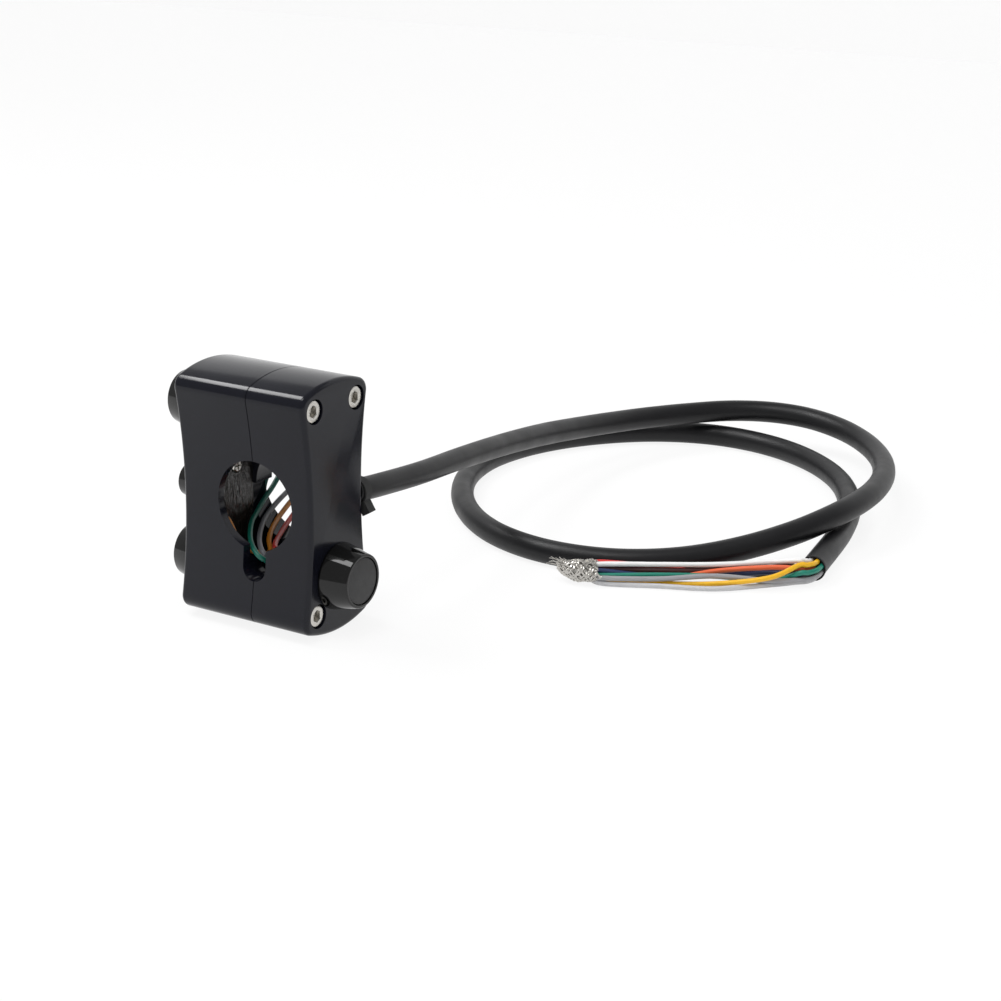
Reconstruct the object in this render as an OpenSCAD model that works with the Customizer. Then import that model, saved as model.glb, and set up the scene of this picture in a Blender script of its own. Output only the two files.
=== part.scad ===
// Handlebar switch cluster: two clamp halves round a bar, four sprung push buttons and a loose cable.
// The origin is the middle of the bar bore, on the split of the halves.
// X points to the right half's button, Y along the bar to the cable side, Z up. Millimetres.

/* [Casing] */
// Height over the arched top and bottom
case_height = 62.4; // [60:0.2:72]
// Depth along the bar at the waist
waist_depth = 20.5; // [19.5:0.5:28]
// Radius of the hollow front and rear faces
hollow_radius = 137; // [115:1:240]
// Radius of the arched top and bottom
crown_radius = 32; // [31:0.5:80]
// Radius of the four long corners
corner_radius = 3.2; // [2:0.1:3.4]
// Radius of the rounded edges of the button faces
edge_round = 1.2; // [0.6:0.1:1.8]
// Bevel along the split line
seam_bevel = 0.15; // [0.1:0.05:0.4]
// Wall of the right half beside the bar
right_wall = 5.6; // [5:0.1:9]

/* [Bar clamp] */
// Diameter of the handlebar
bar_diameter = 22.2; // [21:0.1:25.4]
// Width of the wire slot below the bar
slot_width = 6.8; // [6.2:0.1:7.4]
// Depth of the wire slot below the bar
slot_drop = 7.5; // [7:0.1:8.5]
// Depth of the wire relief in the lower left of the bore
relief_depth = 2.3; // [2.1:0.1:2.8]

/* [Clamp screws] */
// Thread diameter
screw_diameter = 3; // [2.5:0.5:3]
// Length below the head
screw_length = 25; // [22:1:27]
// Head diameter
screw_head = 5.5; // [5:0.1:6]
// Head height
screw_head_height = 3; // [2.5:0.1:3.2]
// Width across flats of the hex socket
screw_socket = 2.5; // [2:0.5:2.5]
// How far the heads lie below the button face
screw_sunk = 0.4; // [0.2:0.1:0.8]
// Distance of the screws from the bar's axis, along the bar
screw_y = 8.05; // [7.8:0.05:8.4]
// Distance of the screws from the top and bottom of the casing
screw_inset = 6.1; // [5.6:0.1:6.4]

/* [Buttons] */
// Distance of the upper left button below the top of the casing
upper_left_drop = 10.9; // [10.6:0.1:11.2]
// Height of the small middle left button above the bar's axis
middle_left_z = -0.8; // [-1.2:0.1:0]
// Distance of the lower left button above the bottom of the casing
lower_left_rise = 12; // [11.7:0.1:12.6]
// Distance of the lower right button above the bottom of the casing
lower_right_rise = 14.05; // [13.6:0.05:14.4]
// How far a large bezel stands out
large_bezel_height = 7.3; // [6:0.1:9]
// Base radius of a large bezel
large_base_radius = 8.2; // [7.9:0.1:8.6]
// Width of a large bezel's flange on the button face
large_flange = 1.05; // [0.8:0.05:1.4]
// How far the small bezel stands out
small_bezel_height = 7; // [5.5:0.1:8]
// Base radius of the small bezel
small_base_radius = 5.2; // [5:0.1:5.6]
// Width of the small bezel's flange on the button face
small_flange = 0.5; // [0.4:0.05:0.7]
// Width of the rim round every cap
rim_width = 0.75; // [0.6:0.05:1]
// Travel of every button
button_travel = 1.2; // [0.6:0.1:1.3]
// Running gap between a cap and its bezel
cap_gap = 0.1; // [0.05:0.01:0.2]
// Thickness of a cap's top
cap_top = 1.5; // [1:0.1:2]
// How far a cap lies below its bezel's rim
cap_sunk = 0.2; // [0:0.05:0.5]
// Thickness of the sealing gasket under a bezel
gasket_thickness = 0.8; // [0.5:0.1:1]

/* [Switches and boards] */
// Depth from a button face to the board under it
board_depth = 7.8; // [7.7:0.1:9]
// Casing wall under a button face
face_wall = 3.8; // [3.7:0.1:4]
// Thickness of the circuit boards
board_thickness = 1.2; // [0.8:0.1:1.6]
// Thickness of the potting resin on the left board
resin_thickness = 0.8; // [0.5:0.1:1.2]
// Gap between the bar and that resin
bar_to_resin = 1.1; // [0.6:0.1:2]
// Side of a square push switch
switch_side = 6; // [5.8:0.1:6.4]
// Height of a push switch
switch_height = 3.4; // [3:0.1:3.5]
// Radius of a switch plunger
plunger_radius = 1.7; // [1.4:0.1:1.8]
// Turns of a return spring
spring_turns = 7; // [5:1:9]
// Wire diameter of a return spring
spring_wire = 0.4; // [0.3:0.05:0.5]
// Thread diameter of the board screw
board_thread = 1.9; // [1.6:0.1:2]

/* [Cable] */
// Outer diameter of the cable
cable_diameter = 6.5; // [6:0.1:6.5]
// Diameter of the cable where it leaves the casing
cable_neck = 5.8; // [5:0.1:6]
// Diameter of a lead at the stripped end
lead_diameter = 1.35; // [1:0.05:1.35]
// Diameter of a lead inside the casing
inner_lead_diameter = 1.3; // [1:0.05:1.3]
// Length of the tinned braid over the ends of the leads
braid_length = 11.5; // [8:0.5:14]
// Width of the cable tie
tie_width = 2.5; // [2:0.1:3.6]
// Thickness of the cable tie's band
tie_thickness = 0.4; // [0.4:0.1:1.2]

/* [Hidden] */

// Clearances
fit_gap = 0.05;
board_gap = 0.3;
thread_gap = 0.05;
hole_gap = 0.1;
head_gap = 0.25;
cut = 1;

// Widths of the halves follow from the bar and what stands beside it
bar_radius = bar_diameter / 2;
resin_face = bar_radius + bar_to_resin;
left_board_face = resin_face + resin_thickness;
left_width = left_board_face + board_thickness + board_depth;
right_width = bar_radius + right_wall;
right_board_face = right_width - board_depth;

// Outline of the casing across the bar
half_height = case_height / 2;
half_waist = waist_depth / 2;
screw_z = half_height - screw_inset;
upper_left_z = half_height - upper_left_drop;
lower_left_z = lower_left_rise - half_height;
lower_right_z = lower_right_rise - half_height;
hollow_centre = half_waist + hollow_radius;
crown_centre = half_height - crown_radius;
through = 2 * waist_depth;
hollow_steps = 6;
corner_steps = 4;
crown_steps = 5;
round_steps = 3;

// Wire slot and cavities
slot_radius = slot_width / 2;
slot_bottom = bar_radius + slot_drop;
relief_radius = bar_radius + relief_depth;
pocket_front = -8.2;
pocket_rear = 4.2;
strip_front = -4.6;
window_top = bar_radius + bar_to_resin;
window_bottom = -(bar_radius + 2.8);
strip_top = upper_left_z + 4.3;
strip_bottom = lower_left_z - 4.6;
right_pocket_half = 5.2;
right_pocket_top = -(bar_radius + 0.9);
right_pocket_bottom = lower_right_z - 6.45;
well_half = 4;
boss_radius = 2;
boss_y = -1.7;
boss_z = 5.8;
board_screw_head = 1.75;
board_screw_head_height = 1.2;
board_screw_length = 4.8;

// Button stack, measured outwards from a button face
neck_wall = 0.85;
neck_length = 3.6;
cap_flange = 1.1;
cap_flange_step = 0.45;
shoulder = cap_flange + cap_gap;
cap_wall = 0.85;
cap_inset = neck_wall + cap_gap + cap_flange_step;
large_cap_radius = large_base_radius - large_flange - cap_inset;
small_cap_radius = small_base_radius - small_flange - cap_inset;
large_rim_radius = large_cap_radius + cap_gap + rim_width;
small_rim_radius = small_cap_radius + cap_gap + rim_width;
stem_tip = -3;
switch_top = switch_height - board_depth;
plunger_bottom = switch_top - 1;
plunger_gap = 0.05;
switch_well = plunger_bottom - button_travel - 0.2;
spring_seat_gap = 0.02;
spring_side_gap = 0.1;
spring_stem_gap = 0.3;
rings_per_turn = 8;

// Sides of the swept tubes
cable_sides = 10;
lead_sides = 8;
spring_sides = 6;

// Where the cable leaves the rear of the right half
cable_x = bar_radius + right_wall / 2;
cable_z = 0.9;
passage_radius = 1.9;
passage_end = [11.8, 2.5, -14];

// Route of the cable, from the casing to its stripped end
cable_route = [
  [cable_x, half_waist - 0.25, cable_z], [13.9, 20, -0.2], [12.5, 40, -2.4], [9.1, 62.6, -4.9], [5, 84.6, -8],
  [1, 105.1, -11.3],
  [-1.6, 124.2, -14.3], [-2.1, 142.1, -16.9], [-0.1, 158.9, -18.8], [4.7, 174.1, -19.9], [11.9, 187.1, -20.4],
  [21.3, 197, -20.3], [32.6, 202.9, -20.3], [45, 204.2, -20.6], [57.6, 200.7, -21.3], [69.2, 192.5, -21.9],
  [78.9, 180.7, -22.1], [86.1, 166.4, -21.7], [90.7, 151, -21], [92.6, 135.5, -20.6], [91.1, 120.8, -21.2],
  [85.8, 107.1, -23.2], [77.1, 94.6, -25.6], [66.4, 83.5, -27.3], [54.3, 74.9, -27.9], [40.9, 70.1, -27.9],
  [26.5, 70.2, -27.9], [11.8, 75.3, -27.9], [-1.9, 85.3, -27.9], [-13.8, 99.5, -27.9], [-22.3, 116.6, -27.9],
  [-25.6, 135.6, -27.9], [-22.3, 155.1, -27.9], [-12.9, 173, -27.9], [1.3, 186.9, -27.9], [18.7, 193.9, -27.9],
  [37.5, 192.9, -27.9], [55.4, 184.7, -27.9], [70.8, 170.6, -27.9], [82.4, 151.5, -27.9], [90.2, 128.3, -27.9],
  [96.5, 96.5, -27.9]
];
// Route points between which the cable widens from its neck to its full size
neck_point = 2.5;
full_point = 6;
cable_end = cable_route[len(cable_route) - 1];

// Way of the stripped leads out of the cable: place and turn of the bundle, and share of each lead's rise
bundle_way = [
  [96.4, 97.6, -11, 0], [96.7, 96, -10, 0.1], [96.7, 94.2, 10, 0.5], [96, 92.4, 35, 0.9], [94.7, 91.1, 57, 1]
];
// Then the fan: place of its middle and turn
fan_way = [[88.5, 87.6, 65], [76, 82.2, 65], [62.8, 75.6, 60], [50.3, 67.4, 56]];

// Each lead: place in the bundle, rise out of it, then place across the fan and height over the ground
white_place = [[-0.9, 2], 1.1, [[-2.8, 5.15], [-0.4, 4.4], [1.3, 4.3], [1.9, 4.55]]];
brown_place = [[-2, 0.85], 0.2, [[-4.7, 4.45], [-0.7, 2.9], [1.6, 2.8], [1, 3]]];
orange_place = [[0, 0.75], 0.5, [[-0.4, 4.5], [0.9, 3.05], [3.8, 0.95], [2.7, 0.9]]];
red_place = [[-2, -0.85], 0.3, [[-4.4, 2.95], [-1.9, 1.55], [0.1, 3.15], [0.3, 4.55]]];
black_place = [[-0.9, -2], 0.4, [[-4.2, 0.8], [-3.3, 0.75], [-0.8, 0.9], [1.2, 0.95]]];
blue_place = [[0, -0.75], 0.5, [[-2.8, 2.3], [-0.4, 1.4], [2.4, 1.4], [2.9, 3.1]]];
green_place = [[2, 0.85], -0.2, [[-0.4, 0.85], [2.7, 2.25], [4.6, 2.6], [4.1, 2.25]]];
grey_place = [[2, -0.85], -0.3, [[3.6, 2.3], [4.6, 3], [6.6, 2.3], [5.9, 2.2]]];
yellow_place = [[0.9, 2], 0.4, [[4.9, 3.55], [5.9, 1.4], [5.8, 0.75], [4.3, 0.75]]];
pale_grey_place = [[0.9, -2], -0.1, [[3, 0.95], [8.2, 0.85], [7.7, 0.75], [5.8, 0.75]]];

// Routes of the leads inside the casing: out of the resin, round the bar's lower left and back into the slot
rear = half_waist;
green_inner_route = [
  [3.8, -4.4, -15.4], [2.4, -4.6, -15.4], [1.2, -6.6, -15], [1, -8.4, -13.8], [-0.6, -9, -12.6],
  [-4.2, -6.6, -11.5], [-6.8, -4, -10.2], [-9, -0.6, -8.4], [-10.2, 2.8, -7], [-11.2, 6.9, -5],
  [-11.7, rear + 0.35, -3.2], [-11.9, rear + 3.15, -1.2], [-12.2, rear + 5.55, 1], [-13.3, rear + 6.95, 2.2],
  [-15, rear + 6.15, 1.4], [-16, rear + 4.15, -1.6], [-16, rear + 2.65, -5.6],
  [-14.6, rear + 2.15, -10], [-10.8, rear + 2.05, -14], [-5.6, rear + 2.15, -16.4],
  [-2.6, rear + 1.95, -16.8], [-0.6, rear + 0.55, -16.9], [0.2, 8, -16.7], [1.2, 5.4, -16.7],
  [2.2, 4.2, -16.8], [3.8, 4.2, -16.8]
];
grey_inner_route = [
  [-12.6, -2.5, -16.5], [-9, -2.6, -16.5], [-4.5, -3.2, -16.2], [-2.4, -3.9, -15.7], [-1, -5.6, -15],
  [-0.2, -6.7, -13.4], [-1.8, -6, -12.4], [-4.6, -3.2, -11.5], [-6.9, 0.2, -10.2], [-8.9, 4.6, -8.5],
  [-10, 9.4, -7], [-10.5, rear + 2.75, -5.9], [-10.9, rear + 6.35, -5], [-11.3, rear + 9.75, -4.6],
  [-12, rear + 12.15, -5.8], [-11.6, rear + 12.35, -8.6], [-10, rear + 10.65, -12.3],
  [-6, rear + 5.65, -14.3], [-2.1, rear + 1.65, -15.1], [0.2, 9, -15.2], [1, 6.2, -15.2],
  [2.2, 2.3, -15.3], [3.8, 2.2, -15.3]
];
orange_inner_route = [
  [-12.6, -6.8, -5.6], [-10.9, -6.9, -6.6], [-8.7, -7.3, -9.4], [-6.6, -7.2, -12.2], [-4.4, -6.9, -12.9],
  [-2.3, -5.1, -13.8], [-2, -3.6, -14.2], [-2.4, -1.8, -13.9], [-4.2, 0, -12.2], [-5.9, 3.1, -10.8],
  [-7.7, 7.8, -9.6],
  [-8.6, rear + 1.15, -8.5], [-9.4, rear + 4.75, -7.5], [-10, rear + 7.95, -6.8], [-10.6, rear + 10.15, -7.4],
  [-10.4, rear + 10.35, -9.4], [-8.4, rear + 7.35, -11.6], [-5, rear + 3.55, -12.9],
  [-1.8, rear + 1.65, -13.6], [0.2, 9.6, -13.7], [1, 6.6, -13.7], [2.2, 3.4, -13.9], [3.8, 3.2, -13.9]
];
red_inner_route = [
  [3.8, -2.2, -13.7], [2, -2.8, -13.4], [0.6, -3.4, -12.6], [-1.2, -1.4, -12.3], [-2.9, 1.7, -12],
  [-5, 6.8, -11.2], [-6.4, rear + 0.55, -10.4], [-7.3, rear + 3.75, -9.7], [-7.8, rear + 6.55, -9.3],
  [-7.6, rear + 8.75, -10], [-6, rear + 9.15, -11.4], [-3.4, rear + 6.75, -12.2], [-1.2, rear + 3.95, -12.4],
  [0.3, rear + 1.35, -12.3], [0.8, 8.5, -12.2], [1.6, 5.4, -12.3],
  [2.2, 4.4, -12.6], [3.8, 4.2, -12.8]
];

// Geometry of curves and tubes

function unit(v) = v / norm(v);
function mix(a, b, t) = a + (b - a) * t;
function ghost(p, i) =
  i < 0 ? 2 * p[0] - p[1] :
  i >= len(p) ? 2 * p[len(p) - 1] - p[len(p) - 2] : p[i];

// Smooth curve through every route point, with the given number of steps to each span
function curve_at(a, b, c, d, t) =
  0.5 * (2 * b + (c - a) * t + (2 * a - 5 * b + 4 * c - d) * t * t + (3 * b - a - 3 * c + d) * t * t * t);
function smooth(p, steps) = concat(
  [for (i = [0:len(p) - 2]) for (k = [0:steps - 1])
    curve_at(ghost(p, i - 1), p[i], p[i + 1], ghost(p, i + 2), k / steps)],
  [p[len(p) - 1]]
);

function tangent(p, i) = unit(ghost(p, i + 1) - ghost(p, i - 1));
function level_with(u, t) = unit(u - (u * t) * t);
function first_side(t) = level_with(abs(t[2]) < 0.9 ? [0, 0, 1] : [1, 0, 0], t);

// Side direction of each ring, turned no more than the path turns
function sides_along(p) = [
  for (i = 0, u = first_side(tangent(p, 0));
       i < len(p);
       i = i + 1, u = i < len(p) ? level_with(u, tangent(p, i)) : u) u
];
function ring(centre, u, t, radius, sides) = [
  for (j = [0:sides - 1]) let (a = 360 * j / sides)
    centre + radius * (cos(a) * u + sin(a) * cross(t, u))
];

// Closed skin over a row of rings with the same number of points
module skin(rings) {
  n = len(rings[0]);
  m = len(rings);
  first_middle = m * n;
  walls = [
    for (i = [0:m - 2]) for (j = [0:n - 1])
      let (a = i * n + j, b = i * n + (j + 1) % n)
        each [[a, a + n, b + n], [a, b + n, b]]
  ];
  first_cap = [for (j = [0:n - 1]) [first_middle, j, (j + 1) % n]];
  last_cap = [for (j = [0:n - 1]) [first_middle + 1, (m - 1) * n + (j + 1) % n, (m - 1) * n + j]];
  flat = [for (r = rings) each r];
  middle_first = centre_of(rings[0]);
  middle_last = centre_of(rings[m - 1]);
  polyhedron(concat(flat, [middle_first, middle_last]), concat(walls, first_cap, last_cap));
}
function centre_of(points) = [for (p = points) 1] * points / len(points);

module tapered_tube(path, diameters, sides) {
  across = sides_along(path);
  skin([for (i = [0:len(path) - 1]) ring(path[i], across[i], tangent(path, i), diameters[i] / 2, sides)]);
}

module tube(path, diameter, sides) {
  tapered_tube(path, [for (p = path) diameter], sides);
}

// Casing outline: hollow front and rear, arched top and bottom, round corners, all drawn in by one inset

function corner_centre() =
  let (
    r1 = hollow_radius + corner_radius,
    r2 = crown_radius - corner_radius,
    along = [-hollow_centre, crown_centre],
    d = norm(along),
    a = (r1 * r1 - r2 * r2 + d * d) / (2 * d),
    h = sqrt(r1 * r1 - a * a),
    e = along / d
  )
  [hollow_centre, 0] + a * e + h * [e[1], -e[0]];
function arc(centre, radius, from, to, steps) = [
  for (k = [0:steps]) centre + radius * [cos(mix(from, to, k / steps)), sin(mix(from, to, k / steps))]
];
function quarter(inset) =
  let (
    c = corner_centre(),
    hollow_angle = atan2(c[1], c[0] - hollow_centre),
    crown_angle = atan2(c[1] - crown_centre, c[0]),
    hollow = arc([hollow_centre, 0], hollow_radius + inset, 180, hollow_angle, hollow_steps),
    corner = arc(c, corner_radius - inset, hollow_angle - 180, crown_angle, corner_steps),
    crown = arc([0, crown_centre], crown_radius - inset, crown_angle, 90, crown_steps)
  )
  concat([for (k = [0:hollow_steps - 1]) hollow[k]], [for (k = [0:corner_steps - 1]) corner[k]], crown);
function outline(inset) =
  let (q = quarter(inset), n = len(q) - 1)
  concat(
    [for (k = [0:n - 1]) q[k]],
    [for (k = [0:n - 1]) [-q[n - k][0], q[n - k][1]]],
    [for (k = [0:n - 1]) -q[k]],
    [for (k = [0:n - 1]) [q[n - k][0], -q[n - k][1]]]
  );
function outline_at(x, inset) = [for (p = outline(inset)) [x, p[0], p[1]]];

// One half from the split outwards, with a bevelled seam and a round edge at its button face
module half_shell(width) {
  skin(concat(
    [outline_at(0, seam_bevel), outline_at(seam_bevel, 0)],
    [for (k = [0:round_steps]) let (a = 90 * k / round_steps)
      outline_at(width - edge_round * (1 - sin(a)), edge_round * (1 - cos(a)))]
  ));
}

// Cuts that both halves share

module along_bar(radius, length) {
  rotate([90, 0, 0]) cylinder(r = radius, h = length, center = true, $fn = 96);
}

module across_bar(radius, length) {
  rotate([0, 90, 0]) cylinder(r = radius, h = length, $fn = 48);
}

module box(low, high) {
  translate(low) cube(high - low);
}

module bar_and_slot() {
  along_bar(bar_radius, through);
  translate([0, 0, slot_radius - slot_bottom]) along_bar(slot_radius, through);
  box([-slot_radius, -through / 2, slot_radius - slot_bottom], [slot_radius, through / 2, -bar_radius / 2]);
}

module at_screws() {
  for (y = [-screw_y, screw_y]) for (z = [-screw_z, screw_z]) translate([0, y, z]) children();
}

// Places a button's parts: local Z points out of the button face

module on_left(z) {
  translate([-left_width, 0, z]) rotate([0, -90, 0]) children();
}

module on_right(z) {
  translate([right_width, 0, z]) rotate([0, 90, 0]) children();
}

function neck_radius(cap_radius) = cap_radius + cap_flange_step + cap_gap + neck_wall;
function gasket_radius(cap_radius, base_radius) = mix(neck_radius(cap_radius), base_radius, 0.7);

module button_hole(cap_radius, base_radius) {
  translate([0, 0, -face_wall]) cylinder(r = neck_radius(cap_radius) + fit_gap, h = face_wall + cut, $fn = 64);
  translate([0, 0, -gasket_thickness])
    cylinder(r = gasket_radius(cap_radius, base_radius) + fit_gap, h = gasket_thickness + cut, $fn = 64);
}

// Casing halves

module left_cavity() {
  floor_x = face_wall - left_width;
  box([floor_x, pocket_front, window_bottom], [cut, pocket_rear, window_top]);
  box([floor_x, strip_front, strip_bottom], [cut, pocket_rear, strip_top]);
}

module left_boss() {
  translate([face_wall - left_width, boss_y, boss_z]) across_bar(boss_radius, board_depth - face_wall);
}

module wire_relief() {
  intersection() {
    along_bar(relief_radius, through);
    box([-relief_radius - cut, pocket_front, -relief_radius - cut], [0, through, 0]);
  }
}

module left_casing() {
  color([0.06, 0.06, 0.065]) difference() {
    union() {
      difference() {
        mirror([1, 0, 0]) half_shell(left_width);
        left_cavity();
      }
      left_boss();
    }
    bar_and_slot();
    wire_relief();
    on_left(upper_left_z) button_hole(large_cap_radius, large_base_radius);
    on_left(middle_left_z) button_hole(small_cap_radius, small_base_radius);
    on_left(lower_left_z) button_hole(large_cap_radius, large_base_radius);
    at_screws() translate([-screw_depth - cut, 0, 0])
      across_bar(screw_diameter / 2, screw_depth + 2 * cut);
    translate([-left_board_face - board_screw_length, boss_y, boss_z])
      across_bar(board_thread / 2 + thread_gap, board_screw_length);
  }
}

screw_seat = right_width - screw_sunk - screw_head_height;
screw_depth = screw_length - screw_seat;

module right_cavity() {
  box([-cut, -right_pocket_half, right_pocket_bottom], [right_board_face, right_pocket_half, right_pocket_top]);
  box([0, -well_half, lower_right_z - well_half],
      [right_width - face_wall, well_half, lower_right_z + well_half]);
}

module cable_passage() {
  start = [cable_x, half_waist + cut, cable_z];
  way = passage_end - start;
  translate(start) rotate([0, acos(way[2] / norm(way)), atan2(way[1], way[0])])
    cylinder(r = passage_radius, h = norm(way), $fn = 48);
}

module right_casing() {
  color([0.06, 0.06, 0.065]) difference() {
    half_shell(right_width);
    bar_and_slot();
    right_cavity();
    cable_passage();
    on_right(lower_right_z) button_hole(large_cap_radius, large_base_radius);
    at_screws() translate([-cut, 0, 0]) across_bar(screw_diameter / 2 + hole_gap, right_width + 2 * cut);
    at_screws() translate([screw_seat, 0, 0]) across_bar(screw_head / 2 + head_gap, right_width);
  }
}

// Clamp screws, with round-topped heads and hex sockets

module clamp_screw() {
  head_bevel = 0.3;
  socket_depth = screw_head_height * 0.55;
  difference() {
    union() {
      translate([screw_seat - screw_length, 0, 0]) across_bar(screw_diameter / 2 - thread_gap, screw_length);
      translate([screw_seat, 0, 0]) rotate([0, 90, 0]) rotate_extrude($fn = 48) polygon([
        [0, 0], [screw_head / 2, 0], [screw_head / 2, screw_head_height - head_bevel],
        [screw_head / 2 - head_bevel, screw_head_height], [0, screw_head_height]
      ]);
    }
    translate([screw_seat + screw_head_height - socket_depth, 0, 0]) rotate([0, 90, 0])
      cylinder(r = screw_socket / sqrt(3), h = socket_depth + cut, $fn = 6);
  }
}

module clamp_screws() {
  color([0.8, 0.79, 0.76]) at_screws() clamp_screw();
}

// Circuit boards and the resin over them

module left_board_shape(x0, x1, gap) {
  box([x0, pocket_front + gap, window_bottom + gap], [x1, pocket_rear - gap, window_top - gap]);
  box([x0, strip_front + gap, strip_bottom + gap], [x1, pocket_rear - gap, strip_top - gap]);
}

module left_board() {
  color([0.05, 0.2, 0.12]) difference() {
    left_board_shape(-left_board_face - board_thickness, -left_board_face, board_gap);
    translate([-left_width, boss_y, boss_z]) across_bar(board_thread / 2 + hole_gap, left_width);
  }
}

module board_screw() {
  slot = 0.45;
  slot_depth = 0.6;
  color([0.75, 0.75, 0.74]) translate([-left_board_face, boss_y, boss_z]) difference() {
    union() {
      translate([-board_screw_length, 0, 0]) across_bar(board_thread / 2, board_screw_length);
      across_bar(board_screw_head, board_screw_head_height);
    }
    for (turn = [0, 90]) rotate([turn, 0, 0])
      box([board_screw_head_height - slot_depth, -board_screw_head * 0.65, -slot / 2],
          [board_screw_head_height + cut, board_screw_head * 0.65, slot / 2]);
  }
}

module left_potting() {
  color([0.12, 0.11, 0.11]) difference() {
    left_board_shape(-left_board_face, -resin_face, fit_gap);
    translate([-left_width, boss_y, boss_z]) across_bar(board_screw_head + hole_gap, left_width);
  }
}

module right_pocket_shape(x0, x1, gap) {
  box([x0, -right_pocket_half + gap, right_pocket_bottom + gap],
      [x1, right_pocket_half - gap, right_pocket_top - gap]);
}

module right_board() {
  color([0.05, 0.2, 0.12]) right_pocket_shape(right_board_face - board_thickness, right_board_face, board_gap);
}

module right_potting() {
  color([0.12, 0.11, 0.11]) right_pocket_shape(slot_radius, right_board_face - board_thickness, fit_gap);
}

// Button parts, drawn about local Z with the button face at zero

module bezel(cap_radius, base_radius, rim_radius, height) {
  land = 0.4;
  rim_bevel = 0.3;
  bore = cap_radius + cap_gap;
  flange_bore = bore + cap_flange_step;
  rotate_extrude($fn = 72) polygon([
    [flange_bore, -neck_length], [neck_radius(cap_radius), -neck_length], [neck_radius(cap_radius), 0],
    [base_radius, 0], [base_radius, land], [rim_radius, height - rim_bevel], [rim_radius - rim_bevel, height],
    [bore, height], [bore, shoulder], [flange_bore, shoulder]
  ]);
}

module cap(cap_radius, height) {
  top = height - cap_sunk;
  inside = top - cap_top;
  edge = 0.25;
  rotate_extrude($fn = 72) polygon([
    [0, stem_tip], [stem_radius(cap_radius), stem_tip], [stem_radius(cap_radius), inside],
    [cap_radius - cap_wall, inside], [cap_radius - cap_wall, 0], [cap_radius + cap_flange_step, 0],
    [cap_radius + cap_flange_step, cap_flange], [cap_radius, cap_flange], [cap_radius, top - edge],
    [cap_radius - edge, top], [0, top]
  ]);
}

function stem_radius(cap_radius) =
  min(1.9, cap_radius - cap_wall - spring_side_gap - spring_wire - spring_stem_gap);
function spring_radius(cap_radius) = stem_radius(cap_radius) + spring_stem_gap + spring_wire / 2;
function plunger_size(cap_radius) = min(plunger_radius, stem_radius(cap_radius));

// Return spring from the switch to the underside of the cap's top
function spring_path(cap_radius, height) =
  let (
    low = switch_top + spring_wire / 2 + spring_seat_gap,
    high = height - cap_sunk - cap_top - spring_wire / 2 - spring_seat_gap,
    n = spring_turns * rings_per_turn
  )
  [for (i = [0:n]) let (a = 360 * i / rings_per_turn)
    [spring_radius(cap_radius) * cos(a), spring_radius(cap_radius) * sin(a), mix(low, high, i / n)]];
function least_gap(path, apart, diameter) =
  min([
    for (i = [0:len(path) - 1 - apart]) for (j = [i + apart:len(path) - 1]) norm(path[i] - path[j])
  ]) - diameter;

module spring(cap_radius, height) {
  tube(spring_path(cap_radius, height), spring_wire, spring_sides);
}

module switch_body(cap_radius) {
  difference() {
    translate([-switch_side / 2, -switch_side / 2, -board_depth])
      cube([switch_side, switch_side, switch_height]);
    translate([0, 0, switch_well])
      cylinder(r = plunger_size(cap_radius) + plunger_gap, h = board_depth, $fn = 48);
  }
}

module plunger(cap_radius) {
  translate([0, 0, plunger_bottom])
    cylinder(r = plunger_size(cap_radius), h = stem_tip - plunger_bottom, $fn = 48);
}

module gasket(cap_radius, base_radius) {
  translate([0, 0, -gasket_thickness]) difference() {
    cylinder(r = gasket_radius(cap_radius, base_radius), h = gasket_thickness, $fn = 64);
    translate([0, 0, -cut])
      cylinder(r = neck_radius(cap_radius) + fit_gap, h = gasket_thickness + 2 * cut, $fn = 64);
  }
}

bezel_black = [0.03, 0.03, 0.03];
cap_black = [0.09, 0.09, 0.1];
spring_steel = [0.6, 0.6, 0.62];
switch_grey = [0.15, 0.15, 0.16];
plunger_red = [0.5, 0.1, 0.08];
seal_black = [0.05, 0.05, 0.05];

module large_bezel() {
  color(bezel_black) bezel(large_cap_radius, large_base_radius, large_rim_radius, large_bezel_height);
}

module large_cap() {
  color(cap_black) cap(large_cap_radius, large_bezel_height);
}

module large_spring() {
  color(spring_steel) spring(large_cap_radius, large_bezel_height);
}

module large_gasket() {
  color(seal_black) gasket(large_cap_radius, large_base_radius);
}

module large_switch() {
  color(switch_grey) switch_body(large_cap_radius);
}

module large_plunger() {
  color(plunger_red) plunger(large_cap_radius);
}

module upper_left_bezel() { on_left(upper_left_z) large_bezel(); }
module upper_left_cap() { on_left(upper_left_z) large_cap(); }
module upper_left_spring() { on_left(upper_left_z) large_spring(); }
module upper_left_switch() { on_left(upper_left_z) large_switch(); }
module upper_left_plunger() { on_left(upper_left_z) large_plunger(); }
module upper_left_gasket() { on_left(upper_left_z) large_gasket(); }

module middle_left_bezel() {
  on_left(middle_left_z) color(bezel_black)
    bezel(small_cap_radius, small_base_radius, small_rim_radius, small_bezel_height);
}
module middle_left_cap() { on_left(middle_left_z) color(cap_black) cap(small_cap_radius, small_bezel_height); }
module middle_left_spring() {
  on_left(middle_left_z) color(spring_steel) spring(small_cap_radius, small_bezel_height);
}
module middle_left_switch() { on_left(middle_left_z) color(switch_grey) switch_body(small_cap_radius); }
module middle_left_plunger() { on_left(middle_left_z) color(plunger_red) plunger(small_cap_radius); }
module middle_left_gasket() {
  on_left(middle_left_z) color(seal_black) gasket(small_cap_radius, small_base_radius);
}

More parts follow.
